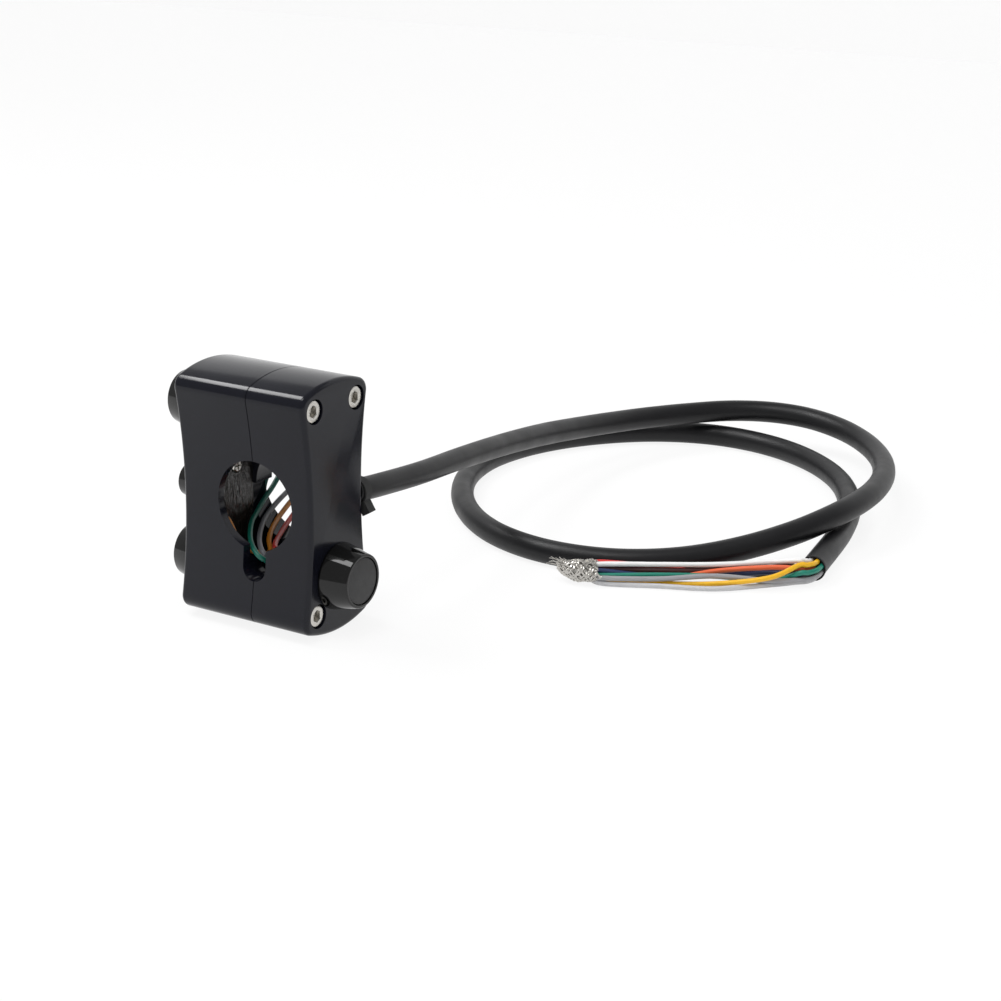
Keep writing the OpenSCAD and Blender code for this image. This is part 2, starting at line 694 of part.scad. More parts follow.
module lower_left_bezel() { on_left(lower_left_z) large_bezel(); }
module lower_left_cap() { on_left(lower_left_z) large_cap(); }
module lower_left_spring() { on_left(lower_left_z) large_spring(); }
module lower_left_switch() { on_left(lower_left_z) large_switch(); }
module lower_left_plunger() { on_left(lower_left_z) large_plunger(); }
module lower_left_gasket() { on_left(lower_left_z) large_gasket(); }

module lower_right_bezel() { on_right(lower_right_z) large_bezel(); }
module lower_right_cap() { on_right(lower_right_z) large_cap(); }
module lower_right_spring() { on_right(lower_right_z) large_spring(); }
module lower_right_switch() { on_right(lower_right_z) large_switch(); }
module lower_right_plunger() { on_right(lower_right_z) large_plunger(); }
module lower_right_gasket() { on_right(lower_right_z) large_gasket(); }

// Leads inside the casing

module inner_lead(route) {
  tube(smooth(route, 2), inner_lead_diameter, lead_sides);
}

module green_inner_lead() { color([0.02, 0.35, 0.28]) inner_lead(green_inner_route); }
module grey_inner_lead() { color([0.45, 0.45, 0.47]) inner_lead(grey_inner_route); }
module orange_inner_lead() { color([0.8, 0.5, 0.1]) inner_lead(orange_inner_route); }
module red_inner_lead() { color([0.75, 0.12, 0.12]) inner_lead(red_inner_route); }

// Cable, its tie and its stripped end

module cable() {
  path = smooth(cable_route, 2);
  widths = [
    for (i = [0:len(path) - 1])
      let (share = (i / 2 - neck_point) / (full_point - neck_point))
      mix(cable_neck, cable_diameter, max(0, min(1, share)))
  ];
  color([0.09, 0.09, 0.1]) tapered_tube(path, widths, cable_sides);
}

module cable_tie() {
  tie_y = half_waist + 1.85;
  tie_z = cable_z - 0.35;
  head_turn = 32;
  inner = cable_neck / 2 + fit_gap;
  head = [2.4, 2.6, 3];
  color([0.05, 0.05, 0.05]) translate([cable_x, tie_y, tie_z]) rotate([0, -head_turn, 0]) {
    rotate([90, 0, 0]) difference() {
      cylinder(r = inner + tie_thickness, h = tie_width, center = true, $fn = 48);
      cylinder(r = inner, h = tie_width + 2 * cut, center = true, $fn = 48);
    }
    translate([0, 0, -inner - tie_thickness / 2 - head[2] / 2]) cube(head, center = true);
  }
}

function turned_side(turn) = [cos(turn), -sin(turn)];
function lead_route(place) = concat(
  [for (w = bundle_way)
    let (spot = [w[0], w[1]] + place[0][0] * turned_side(w[2]))
    [spot[0], spot[1], cable_end[2] + place[0][1] + place[1] * w[3]]],
  [for (k = [0:len(fan_way) - 1])
    let (w = fan_way[k], spot = [w[0], w[1]] + place[2][k][0] * turned_side(w[2]))
    [spot[0], spot[1], place[2][k][1] - half_height]]
);

module lead(place) {
  tube(smooth(lead_route(place), 2), lead_diameter, lead_sides);
}

module white_lead() { color([0.9, 0.9, 0.9]) lead(white_place); }
module red_lead() { color([0.8, 0.2, 0.2]) lead(red_place); }
module brown_lead() { color([0.25, 0.16, 0.16]) lead(brown_place); }
module black_lead() { color([0.05, 0.05, 0.05]) lead(black_place); }
module green_lead() { color([0.05, 0.45, 0.4]) lead(green_place); }
module orange_lead() { color([0.9, 0.42, 0.3]) lead(orange_place); }
module blue_lead() { color([0.2, 0.25, 0.4]) lead(blue_place); }
module grey_lead() { color([0.55, 0.55, 0.56]) lead(grey_place); }
module yellow_lead() { color([0.95, 0.72, 0.1]) lead(yellow_place); }
module pale_grey_lead() { color([0.75, 0.75, 0.76]) lead(pale_grey_place); }

// Tinned braid gathered over the ends of the leads: share of its length, place across, height and half sizes
braid_rings = [
  [-0.08, 2.9, 2.9, 4.2, 2.4], [0.1, 2.9, 3, 4.3, 2.7], [0.3, 2.9, 3.1, 4.1, 2.9], [0.52, 2.7, 3.2, 3.7, 2.9],
  [0.72, 2.3, 3.3, 3, 2.5], [0.88, 1.6, 3.6, 2, 1.8], [1, 0.9, 4, 0.8, 0.8]
];

module braid_end() {
  steps = 16;
  w = fan_way[len(fan_way) - 1];
  along = [-sin(w[2]), -cos(w[2])];
  across = turned_side(w[2]);
  color([0.72, 0.71, 0.69]) skin([
    for (r = braid_rings) let (middle = [w[0], w[1]] + r[0] * braid_length * along)
      [for (j = [0:steps - 1])
        let (a = 360 * j / steps, spot = middle + (r[1] + r[3] * cos(a)) * across)
        [spot[0], spot[1], r[2] + r[4] * sin(a) - half_height]]
  ]);
}

echo(
  least_spring_gap =
    least_gap(spring_path(large_cap_radius, large_bezel_height), rings_per_turn - 2, spring_wire)
);

left_casing();
right_casing();
clamp_screws();
left_board();
board_screw();
left_potting();
right_board();
right_potting();
upper_left_bezel();
upper_left_cap();
upper_left_spring();
upper_left_switch();
upper_left_plunger();
upper_left_gasket();
middle_left_bezel();
middle_left_cap();
middle_left_spring();
middle_left_switch();
middle_left_plunger();
middle_left_gasket();
lower_left_bezel();
lower_left_cap();
lower_left_spring();
lower_left_switch();
lower_left_plunger();
lower_left_gasket();
lower_right_bezel();
lower_right_cap();
lower_right_spring();
lower_right_switch();
lower_right_plunger();
lower_right_gasket();
green_inner_lead();
grey_inner_lead();
orange_inner_lead();
red_inner_lead();
cable();
cable_tie();
white_lead();
red_lead();
brown_lead();
black_lead();
green_lead();
orange_lead();
blue_lead();
grey_lead();
yellow_lead();
pale_grey_lead();
braid_end();
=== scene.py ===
"""Looks of a handlebar switch cluster: casing halves, buttons, screws, leads and cable."""
import math

import bmesh
import bpy
import numpy as np
from mathutils import Matrix


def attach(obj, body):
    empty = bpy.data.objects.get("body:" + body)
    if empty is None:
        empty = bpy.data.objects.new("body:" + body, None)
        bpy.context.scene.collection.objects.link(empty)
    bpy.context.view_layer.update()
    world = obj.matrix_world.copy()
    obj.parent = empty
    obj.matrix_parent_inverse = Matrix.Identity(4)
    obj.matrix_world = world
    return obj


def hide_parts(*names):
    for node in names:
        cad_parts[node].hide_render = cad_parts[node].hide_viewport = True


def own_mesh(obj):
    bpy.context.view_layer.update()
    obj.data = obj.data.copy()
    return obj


bl_info = {
    "name": "Handlebar switch cluster",
    "version": (1, 0, 0),
    "blender": (4, 5, 0),
    "location": "3D View > Sidebar > Switch cluster",
    "description": "Builds the casing, push buttons, screws, leads and cable of a handlebar switch cluster",
    "category": "Object",
}

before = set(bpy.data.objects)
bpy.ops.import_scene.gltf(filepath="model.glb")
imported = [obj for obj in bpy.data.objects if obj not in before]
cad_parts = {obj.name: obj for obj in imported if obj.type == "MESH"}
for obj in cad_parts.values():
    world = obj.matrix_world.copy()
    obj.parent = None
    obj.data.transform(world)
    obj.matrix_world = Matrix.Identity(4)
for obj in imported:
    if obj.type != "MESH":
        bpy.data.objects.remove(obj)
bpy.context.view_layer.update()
MM = 0.001
HOUSING = "housing"
# Angle in degrees over which an edge is a crease.
CREASE = 30
# Floor's height, places of the four clamp screws and wall behind the button faces, in millimetres.
FLOOR_Z = -31.2
SCREW_SPOTS = [(y, z) for y in (-8.05, 8.05) for z in (-25.1, 25.1)]
FACE_WALL = 3.8

# Cable's route, repeated from the part's source, in metres.
CABLE_ROUTE = MM * np.array([
    (13.9, 10, 0.9), (13.9, 20, -0.2), (12.5, 40, -2.4), (9.1, 62.6, -4.9), (5, 84.6, -8),
    (1, 105.1, -11.3), (-1.6, 124.2, -14.3), (-2.1, 142.1, -16.9), (-0.1, 158.9, -18.8),
    (4.7, 174.1, -19.9), (11.9, 187.1, -20.4), (21.3, 197, -20.3), (32.6, 202.9, -20.3), (45, 204.2, -20.6),
    (57.6, 200.7, -21.3), (69.2, 192.5, -21.9), (78.9, 180.7, -22.1), (86.1, 166.4, -21.7),
    (90.7, 151, -21), (92.6, 135.5, -20.6), (91.1, 120.8, -21.2), (85.8, 107.1, -23.2), (77.1, 94.6, -25.6),
    (66.4, 83.5, -27.3), (54.3, 74.9, -27.9), (40.9, 70.1, -27.9), (26.5, 70.2, -27.9), (11.8, 75.3, -27.9),
    (-1.9, 85.3, -27.9), (-13.8, 99.5, -27.9), (-22.3, 116.6, -27.9), (-25.6, 135.6, -27.9),
    (-22.3, 155.1, -27.9), (-12.9, 173, -27.9), (1.3, 186.9, -27.9), (18.7, 193.9, -27.9),
    (37.5, 192.9, -27.9), (55.4, 184.7, -27.9), (70.8, 170.6, -27.9), (82.4, 151.5, -27.9),
    (90.2, 128.3, -27.9), (96.5, 96.5, -27.9),
])
# Route points between which the cable widens from its neck to its full diameter.
NECK_POINT, FULL_POINT = 2.5, 6
# Stripped leads, in millimetres: x, y, turn and share of the rise in the bundle, then x, y, turn in the fan.
BUNDLE_WAY = np.array([(96.4, 97.6, -11, 0), (96.7, 96, -10, 0.1), (96.7, 94.2, 10, 0.5), (96, 92.4, 35, 0.9),
                       (94.7, 91.1, 57, 1)])
FAN_WAY = np.array([(88.5, 87.6, 65), (76, 82.2, 65), (62.8, 75.6, 60), (50.3, 67.4, 56)])
# Each lead: place in the bundle, rise through its bend, then place across the fan and height over the ground.
LEAD_PLACES = {
    "white": ((-0.9, 2), 1.1, [(-2.8, 5.15), (-0.4, 4.4), (1.3, 4.3), (1.9, 4.55)]),
    "brown": ((-2, 0.85), 0.2, [(-4.7, 4.45), (-0.7, 2.9), (1.6, 2.8), (1, 3)]),
    "orange": ((0, 0.75), 0.5, [(-0.4, 4.5), (0.9, 3.05), (3.8, 0.95), (2.7, 0.9)]),
    "red": ((-2, -0.85), 0.3, [(-4.4, 2.95), (-1.9, 1.55), (0.1, 3.15), (0.3, 4.55)]),
    "black": ((-0.9, -2), 0.4, [(-4.2, 0.8), (-3.3, 0.75), (-0.8, 0.9), (1.2, 0.95)]),
    "blue": ((0, -0.75), 0.5, [(-2.8, 2.3), (-0.4, 1.4), (2.4, 1.4), (2.9, 3.1)]),
    "green": ((2, 0.85), -0.2, [(-0.4, 0.85), (2.7, 2.25), (4.6, 2.6), (4.1, 2.25)]),
    "grey": ((2, -0.85), -0.3, [(3.6, 2.3), (4.6, 3), (6.6, 2.3), (5.9, 2.2)]),
    "yellow": ((0.9, 2), 0.4, [(4.9, 3.55), (5.9, 1.4), (5.8, 0.75), (4.3, 0.75)]),
    "pale_grey": ((0.9, -2), -0.1, [(3, 0.95), (8.2, 0.85), (7.7, 0.75), (5.8, 0.75)]),
}
# Braid over the leads' ends: share of its length, place across, height over the ground, half sizes.
BRAID_RINGS = np.array([
    (-0.08, 2.9, 2.9, 4.2, 2.4), (0.1, 2.9, 3, 4.3, 2.7), (0.3, 2.9, 3.1, 4.1, 2.9),
    (0.52, 2.7, 3.2, 3.7, 2.9), (0.72, 2.3, 3.3, 3, 2.5), (0.88, 1.6, 3.6, 2, 1.8), (1, 0.9, 4, 0.8, 0.8),
])
# Leads inside the casing, in millimetres.
INNER_ROUTES = {
    "green": [(3.8, -4.4, -15.4), (2.4, -4.6, -15.4), (1.2, -6.6, -15), (1, -8.4, -13.8), (-0.6, -9, -12.6),
              (-4.2, -6.6, -11.5), (-6.8, -4, -10.2), (-9, -0.6, -8.4), (-10.2, 2.8, -7), (-11.2, 6.9, -5),
              (-11.7, 10.6, -3.2), (-11.9, 13.4, -1.2), (-12.2, 15.8, 1), (-13.3, 17.2, 2.2),
              (-15, 16.4, 1.4), (-16, 14.4, -1.6), (-16, 12.9, -5.6), (-14.6, 12.4, -10),
              (-10.8, 12.3, -14), (-5.6, 12.4, -16.4), (-2.6, 12.2, -16.8), (-0.6, 10.8, -16.9),
              (0.2, 8, -16.7), (1.2, 5.4, -16.7), (2.2, 4.2, -16.8), (3.8, 4.2, -16.8)],
    "grey": [(-12.6, -2.5, -16.5), (-9, -2.6, -16.5), (-4.5, -3.2, -16.2), (-2.4, -3.9, -15.7),
             (-1, -5.6, -15), (-0.2, -6.7, -13.4), (-1.8, -6, -12.4), (-4.6, -3.2, -11.5),
             (-6.9, 0.2, -10.2), (-8.9, 4.6, -8.5), (-10, 9.4, -7), (-10.5, 13, -5.9), (-10.9, 16.6, -5),
             (-11.3, 20, -4.6), (-12, 22.4, -5.8), (-11.6, 22.6, -8.6), (-10, 20.9, -12.3),
             (-6, 15.9, -14.3), (-2.1, 11.9, -15.1), (0.2, 9, -15.2), (1, 6.2, -15.2), (2.2, 2.3, -15.3),
             (3.8, 2.2, -15.3)],
    "orange": [(-12.6, -6.8, -5.6), (-10.9, -6.9, -6.6), (-8.7, -7.3, -9.4), (-6.6, -7.2, -12.2),
               (-4.4, -6.9, -12.9), (-2.3, -5.1, -13.8), (-2, -3.6, -14.2), (-2.4, -1.8, -13.9),
               (-4.2, 0, -12.2), (-5.9, 3.1, -10.8), (-7.7, 7.8, -9.6), (-8.6, 11.4, -8.5),
               (-9.4, 15, -7.5), (-10, 18.2, -6.8), (-10.6, 20.4, -7.4), (-10.4, 20.6, -9.4),
               (-8.4, 17.6, -11.6), (-5, 13.8, -12.9), (-1.8, 11.9, -13.6), (0.2, 9.6, -13.7),
               (1, 6.6, -13.7), (2.2, 3.4, -13.9), (3.8, 3.2, -13.9)],
    "red": [(3.8, -2.2, -13.7), (2, -2.8, -13.4), (0.6, -3.4, -12.6), (-1.2, -1.4, -12.3), (-2.9, 1.7, -12),
            (-5, 6.8, -11.2), (-6.4, 10.8, -10.4), (-7.3, 14, -9.7), (-7.8, 16.8, -9.3), (-7.6, 19, -10),
            (-6, 19.4, -11.4), (-3.4, 17, -12.2), (-1.2, 14.2, -12.4), (0.3, 11.6, -12.3),
            (0.8, 8.5, -12.2), (1.6, 5.4, -12.3), (2.2, 4.4, -12.6), (3.8, 4.2, -12.8)],
}
# Buttons: height over the bore's axis in millimetres, kind, and side of the split.
BUTTONS = {"upper_left": (20.3, "large", -1), "middle_left": (-0.8, "small", -1),
           "lower_left": (-19.2, "large", -1), "lower_right": (-17.15, "large", 1)}


def linear(hex_colour):
    """Linear RGBA of an sRGB hex value: a straight line below 0.04045, a power of 2.4 above it."""
    s = np.array([int(hex_colour[i:i + 2], 16) for i in (1, 3, 5)]) / 255
    rgb = np.where(s <= 0.04045, s / 12.92, ((s + 0.055) / 1.055) ** 2.4)
    return (*rgb.tolist(), 1.0)


# Curves and surfaces

def unit(v):
    """Each vector of an array divided by its own length."""
    return v / np.linalg.norm(v, axis=-1, keepdims=True)


def smooth(points, steps):
    """Cubic through every point: each span's tangents are half the chord between its neighbours."""
    p = np.asarray(points, float)
    q = np.vstack([2 * p[0] - p[1], p, 2 * p[-1] - p[-2]])
    a, b, c, d = (q[i:len(p) - 1 + i, None] for i in range(4))
    t = np.linspace(0, 1, steps, endpoint=False)[None, :, None]
    square, cube = 2 * a - 5 * b + 4 * c - d, 3 * b - a - 3 * c + d
    spans = 0.5 * (2 * b + (c - a) * t + square * t ** 2 + cube * t ** 3)
    return np.vstack([spans.reshape(-1, p.shape[1]), p[-1:]])


def frames(path):
    """Tangent, side and up of each path point; side is the tangent crossed with the axis furthest from it."""
    t = unit(np.gradient(path, axis=0))
    ref = np.eye(3)[np.abs(t).max(axis=0).argmin()]
    side = unit(np.cross(t, ref))
    return t, side, np.cross(side, t)


def tube_points(path, radii, sides):
    """Grid of rings: ring i is path[i] + radii[i] * (cos a * side + sin a * up), a going once round."""
    _, side, up = frames(path)
    a = np.linspace(0, 2 * np.pi, sides, endpoint=False)[None, :, None]
    r = np.broadcast_to(radii, len(path))[:, None, None]
    return path[:, None] + r * (np.cos(a) * side[:, None] + np.sin(a) * up[:, None])


def grid_faces(rows, cols, close_rows=False):
    """Quads between neighbours of a rows by cols grid whose columns, and rows if closed, wrap round."""
    i = np.arange(rows if close_rows else rows - 1)[:, None]
    j = np.arange(cols)[None]
    k, l = (i + 1) % rows, (j + 1) % cols
    quads = np.stack(np.broadcast_arrays(i * cols + j, i * cols + l, k * cols + l, k * cols + j), -1)
    return quads.reshape(-1, 4)


def closed_tube(path, radii, sides):
    """Points and faces of a tube whose two ends shrink to their middles."""
    ring = tube_points(path, radii, sides)
    ends = np.broadcast_to(path[[0, -1]][:, None], (2, sides, 3))
    grid = np.concatenate([ends[:1], ring, ends[1:]])
    return grid.reshape(-1, 3), grid_faces(len(grid), sides)


def joined(parts):
    """Several (points, faces) put into one list of points, with the faces renumbered."""
    starts = np.cumsum([0] + [len(p) for p, _ in parts[:-1]])
    return np.vstack([p for p, _ in parts]), [f + s for (_, f), s in zip(parts, starts)]


def rounded(corners, radii, steps=5):
    """Polygon whose corners become curves that start and end radii from each corner and bend towards it."""
    c = np.asarray(corners, float)
    before, after = unit(np.roll(c, 1, 0) - c), unit(np.roll(c, -1, 0) - c)
    r = np.asarray(radii, float)[:, None, None]
    t = np.linspace(0, 1, steps)[None, :, None]
    p, q, m = c[:, None] + r * before[:, None], c[:, None] + r * after[:, None], c[:, None]
    curve = (1 - t) ** 2 * p + 2 * t * (1 - t) * m + t ** 2 * q
    keep = [curve[i] if r[i, 0, 0] > 0 else c[i:i + 1] for i in range(len(c))]
    return np.vstack(keep)


def lathe(profile, sides, closed):
    """Profile (radius, height) turned about the height axis: (r cos a, r sin a, h)."""
    a = np.linspace(0, 2 * np.pi, sides, endpoint=False)
    r, h = profile[:, :1], np.broadcast_to(profile[:, 1:], (len(profile), sides))
    grid = np.stack([r * np.cos(a), r * np.sin(a), h], -1)
    return grid.reshape(-1, 3), grid_faces(len(profile), sides, close_rows=closed)


def ring_loft(rings):
    """Closed skin over rings of the same number of points, each end filled by one many-sided face."""
    m, n = rings.shape[:2]
    faces = grid_faces(m, n).tolist()
    faces += [list(range(n))[::-1], list(range((m - 1) * n, m * n))]
    return rings.reshape(-1, 3), faces


def make_mesh(name, points, faces, sharp=CREASE):
    """Mesh from whole arrays, in metres: doubles merged at the poles, normals outwards, creases over sharp
    degrees. Faces are a list of index arrays or a list of faces."""
    mesh = bpy.data.meshes.new(name)
    arrays = isinstance(faces[0], np.ndarray) and faces[0].ndim == 2
    faces = [f for part in faces for f in part.tolist()] if arrays else [list(f) for f in faces]
    mesh.from_pydata(np.asarray(points).tolist(), [], faces)
    work = bmesh.new()
    work.from_mesh(mesh)
    bmesh.ops.remove_doubles(work, verts=work.verts, dist=2e-7)
    bmesh.ops.dissolve_degenerate(work, edges=work.edges, dist=1e-8)
    bmesh.ops.recalc_face_normals(work, faces=work.faces)
    work.to_mesh(mesh)
    work.free()
    mesh.polygons.foreach_set("use_smooth", np.ones(len(mesh.polygons), bool))
    mesh.set_sharp_from_angle(angle=math.radians(sharp))
    return mesh


def put(name, mesh, finish, body=HOUSING, replaces=()):
    """Object at the origin that rides on a body, takes a material slot and stands for CAD nodes."""
    made = bpy.data.objects.new(name, mesh)
    bpy.context.scene.collection.objects.link(made)
    mesh.materials.clear()
    mesh.materials.append(finish)
    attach(made, body)
    if replaces:
        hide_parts(*replaces)
    return made


def cut(mesh, cutters):
    """Mesh with each cutter mesh taken away in turn; the cutters are removed afterwards."""
    scene = bpy.context.scene
    body = bpy.data.objects.new("cut_body", mesh)
    scene.collection.objects.link(body)
    tools = []
    for i, cutter in enumerate(cutters):
        tool = bpy.data.objects.new(f"cut_tool_{i}", cutter)
        scene.collection.objects.link(tool)
        step = body.modifiers.new(f"cut_{i}", "BOOLEAN")
        step.operation = "DIFFERENCE"
        step.solver = "EXACT"
        step.object = tool
        tools.append(tool)
    done = bpy.data.meshes.new_from_object(body.evaluated_get(bpy.context.evaluated_depsgraph_get()))
    for gone in [body, *tools]:
        bpy.data.objects.remove(gone)
    done.polygons.foreach_set("use_smooth", np.ones(len(done.polygons), bool))
    done.set_sharp_from_angle(angle=math.radians(CREASE))
    return done


# Casing shape, in millimetres

def arc(centre, radius, start, stop, steps):
    """Points on a circle from start to stop degrees, the last left out."""
    a = np.radians(np.linspace(start, stop, steps, endpoint=False))
    return np.asarray(centre) + radius * np.stack([np.cos(a), np.sin(a)], -1)


def casing_outline(s, inset):
    """Outline across the bar: hollow sides, arched ends and round corners, each arc drawn in by the inset."""
    half, waist = s.case_height / MM / 2, s.waist_depth / MM / 2
    hollow, crown, corner = (v / MM for v in (s.hollow_radius, s.crown_radius, s.corner_radius))
    side = np.array([waist + hollow, 0.0])
    top = np.array([0.0, half - crown])
    r1, r2 = hollow + corner, crown - corner
    along = top - side
    d = np.linalg.norm(along)
    a = (r1 * r1 - r2 * r2 + d * d) / (2 * d)
    h = math.sqrt(r1 * r1 - a * a)
    e = along / d
    c = side + a * e + h * np.array([e[1], -e[0]])
    hollow_angle = math.degrees(math.atan2(c[1], c[0] - side[0]))
    crown_angle = math.degrees(math.atan2(c[1] - top[1], c[0]))
    q = np.vstack([arc(side, hollow + inset, 180, hollow_angle, 48),
                   arc(c, corner - inset, hollow_angle - 180, crown_angle, 14),
                   arc(top, crown - inset, crown_angle, 90, 30), [(0, half - inset)]])
    back = q[::-1]
    return np.vstack([q[:-1], (back * (-1, 1))[:-1], -q[:-1], (back * (1, -1))[:-1]])


def half_rings(s, width):
    """Rings from the split outwards: the seam's groove and bevel, the wall, a quarter round to the face."""
    gap, bevel, edge = (v / MM for v in (s.seam_gap / 2, s.seam_bevel, s.edge_round))
    a = np.linspace(0, np.pi / 2, 9)
    xs = np.concatenate([[0, gap, gap, gap + bevel], width - edge * (1 - np.sin(a))])
    insets = np.concatenate([[s.seam_depth / MM] * 2, [bevel, 0], edge * (1 - np.cos(a))])
    rings = [np.insert(casing_outline(s, i), 0, x, axis=1) for x, i in zip(xs, insets)]
    return np.stack(rings)


def bar_profile(s, steps=96):
    """Keyhole outline: the bar's circle, open below to a slot with a round end."""
    r, w = s.bar_diameter / MM / 2, s.slot_width / MM / 2
    deep = r + s.slot_drop / MM - w
    gate = math.degrees(math.asin(w / r))
    circle = arc((0, 0), r, -90 + gate, 270 - gate, steps)
    end = arc((0, -deep), w, 180, 360, 24)
    corner = (-w, -math.sqrt(r * r - w * w))
    return np.vstack([circle, [corner], end, [(w, -deep)]])


def prism(outline, axis, low, high):
    """Outline carried straight along one axis; the outline's two numbers fill the other axes in order."""
    rings = np.stack([np.insert(outline, axis, v, axis=1) for v in (low, high)])
    return ring_loft(MM * rings)


def disc_tool(centre, radius, axis, low, high, sides=96):
    """Round cutter along an axis."""
    return prism(arc(centre, radius, 0, 360, sides), axis, low, high)


def tool_mesh(*solids):
    """Several closed solids that don't touch, as one cutter mesh."""
    points = np.vstack([p for p, _ in solids])
    starts = np.cumsum([0] + [len(p) for p, _ in solids[:-1]])
    faces = [[int(v) + int(s) for v in f] for (_, fs), s in zip(solids, starts) for f in fs]
    return make_mesh("cutter", points, faces)


# Materials

def add(tree, kind, inputs=None, **settings):
    """Adds one node: settings are its properties, inputs its socket values or the sockets that feed them."""
    made = tree.nodes.new(kind)
    for name, value in settings.items():
        setattr(made, name, value)
    for key, value in (inputs or {}).items():
        if isinstance(value, bpy.types.NodeSocket):
            tree.links.new(value, made.inputs[key])
        else:
            made.inputs[key].default_value = value
    return made


def colours():
    return bpy.context.scene.cluster_colours


def sizes():
    return bpy.context.scene.cluster_sizes


def paint(colour):
    """Linear colour of a hex value, or of the colour property with that name."""
    return linear(colour if colour.startswith("#") else getattr(colours(), colour))


def shade(colour, factor):
    """A colour made lighter or darker."""
    return (*[min(1.0, c * factor) for c in colour[:3]], 1.0)


def finish_material(name, colour, second, grain_mm, roughness, bump_mm, bump, stretch=(1, 1, 1), **shader):
    """Principled material: two close colours and a roughness range follow one noise, a finer noise the bump.
    The second colour is a hex value or a factor of the first. Stretch scales the noise along each axis."""
    first = paint(colour)
    second = paint(second) if isinstance(second, str) else shade(first, second)
    made = bpy.data.materials.new(name)
    made.use_nodes = True
    tree = made.node_tree
    tree.nodes.clear()
    place = add(tree, "ShaderNodeTexCoord").outputs["Object"]
    place = add(tree, "ShaderNodeMapping", {"Vector": place, "Scale": stretch}).outputs["Vector"]
    broad, fine = (
        add(tree, "ShaderNodeTexNoise", {"Vector": place, "Scale": 1 / (size * MM), "Detail": detail})
        for size, detail in ((grain_mm, 4.0), (bump_mm, 3.0)))
    # Sockets 0, 6 and 7 of a colour Mix node are its factor and its two colours.
    mix = add(tree, "ShaderNodeMix", {0: broad.outputs["Fac"], 6: first, 7: second}, data_type="RGBA")
    mixed = next(s for s in mix.outputs if s.type == "RGBA")
    rough = add(tree, "ShaderNodeMapRange", {"Value": broad.outputs["Fac"], "From Min": 0.3, "From Max": 0.7,
                                             "To Min": roughness[0], "To Max": roughness[1]})
    bumped = add(tree, "ShaderNodeBump", {"Height": fine.outputs["Fac"], "Strength": bump,
                                          "Distance": bump_mm * MM})
    skin = add(tree, "ShaderNodeBsdfPrincipled", {"Base Color": mixed, "Roughness": rough.outputs["Result"],
                                                  "Normal": bumped.outputs["Normal"], **shader})
    add(tree, "ShaderNodeOutputMaterial", {"Surface": skin.outputs["BSDF"]})
    return made


FINISHES = {
    # Black anodised aluminium, milled and smoothed: near-black satin with a soft mirror at low angles.
    "anodised_aluminium": dict(colour="casing", second=1.5, grain_mm=9, roughness=(0.13, 0.18),
                               bump_mm=0.35, bump=0.012, IOR=1.35),
    # Polished black moulding of the bezels: deep black with a sharp mirror.
    "gloss_moulding": dict(colour="bezel", second=1.6, grain_mm=5, roughness=(0.05, 0.08), bump_mm=0.6,
                           bump=0.01, IOR=1.45),
    # Satin black moulding of the caps: fine even grain, no clear mirror.
    "satin_moulding": dict(colour="cap", second=1.25, grain_mm=2, roughness=(0.4, 0.5), bump_mm=0.12,
                           bump=0.08, IOR=1.48),
    # Stainless steel screws, turned and passivated: bright grey with fine marks.
    "stainless_steel": dict(colour="#cfccc6", second=0.86, grain_mm=0.8, roughness=(0.2, 0.32),
                            bump_mm=0.1, bump=0.05, Metallic=1.0),
    # Drawn spring wire: duller grey steel.
    "spring_wire": dict(colour="#9c9c9e", second=0.8, grain_mm=0.6, roughness=(0.25, 0.38), bump_mm=0.1,
                        bump=0.04, Metallic=1.0),
    # Soft PVC jacket, extruded: satin black with a broad soft highlight.
    "pvc_jacket": dict(colour="jacket", second=1.3, grain_mm=7, roughness=(0.38, 0.48), bump_mm=0.5,
                       bump=0.05, IOR=1.38),
    # Nylon cable tie, moulded: satin black.
    "nylon": dict(colour="#121213", second=1.4, grain_mm=1.5, roughness=(0.3, 0.42), bump_mm=0.2,
                  bump=0.06, IOR=1.53),
    # Poured potting resin: glossy dark brown-black, set in upright runs.
    "potting_resin": dict(colour="#1c1917", second=2.2, grain_mm=2.4, roughness=(0.08, 0.26), bump_mm=1.1,
                          bump=0.5, stretch=(1, 1, 0.35), IOR=1.52),
    # Glass-epoxy board under solder mask: dark green with a soft sheen.
    "solder_mask": dict(colour="#143a26", second=0.7, grain_mm=1.2, roughness=(0.3, 0.45), bump_mm=0.3,
                        bump=0.05, IOR=1.5),
    # Moulded switch bodies and plungers: dull dark grey and dull red.
    "switch_moulding": dict(colour="#2a2a2b", second=0.8, grain_mm=1, roughness=(0.42, 0.55),
                            bump_mm=0.15, bump=0.06),
    "plunger_moulding": dict(colour="#8d2a22", second=0.8, grain_mm=1, roughness=(0.4, 0.5), bump_mm=0.15,
                             bump=0.06),
    # Moulded nitrile seals: matt black.
    "nitrile": dict(colour="#161616", second=1.3, grain_mm=0.8, roughness=(0.55, 0.7), bump_mm=0.12,
                    bump=0.08),
    # Tinned copper strands: dull silver, slightly uneven.
    "tinned_copper": dict(colour="#dcdad6", second="#aaa69e", grain_mm=0.5, roughness=(0.24, 0.42),
                          bump_mm=0.15, bump=0.08, Metallic=1.0),
}
# PVC insulation of each lead in its own colour, extruded: satin.
for lead_colour in [*LEAD_PLACES, *(f"inner_{c}" for c in INNER_ROUTES)]:
    FINISHES[f"insulation_{lead_colour}"] = dict(
        colour=lead_colour, second=0.86, grain_mm=3, roughness=(0.32, 0.42), bump_mm=0.25, bump=0.04, IOR=1.5)


def material(name):
    """The named finish, made the first time it is asked for."""
    return bpy.data.materials.get(name) or finish_material(name, **FINISHES[name])


# Sizes and colours that a user would change

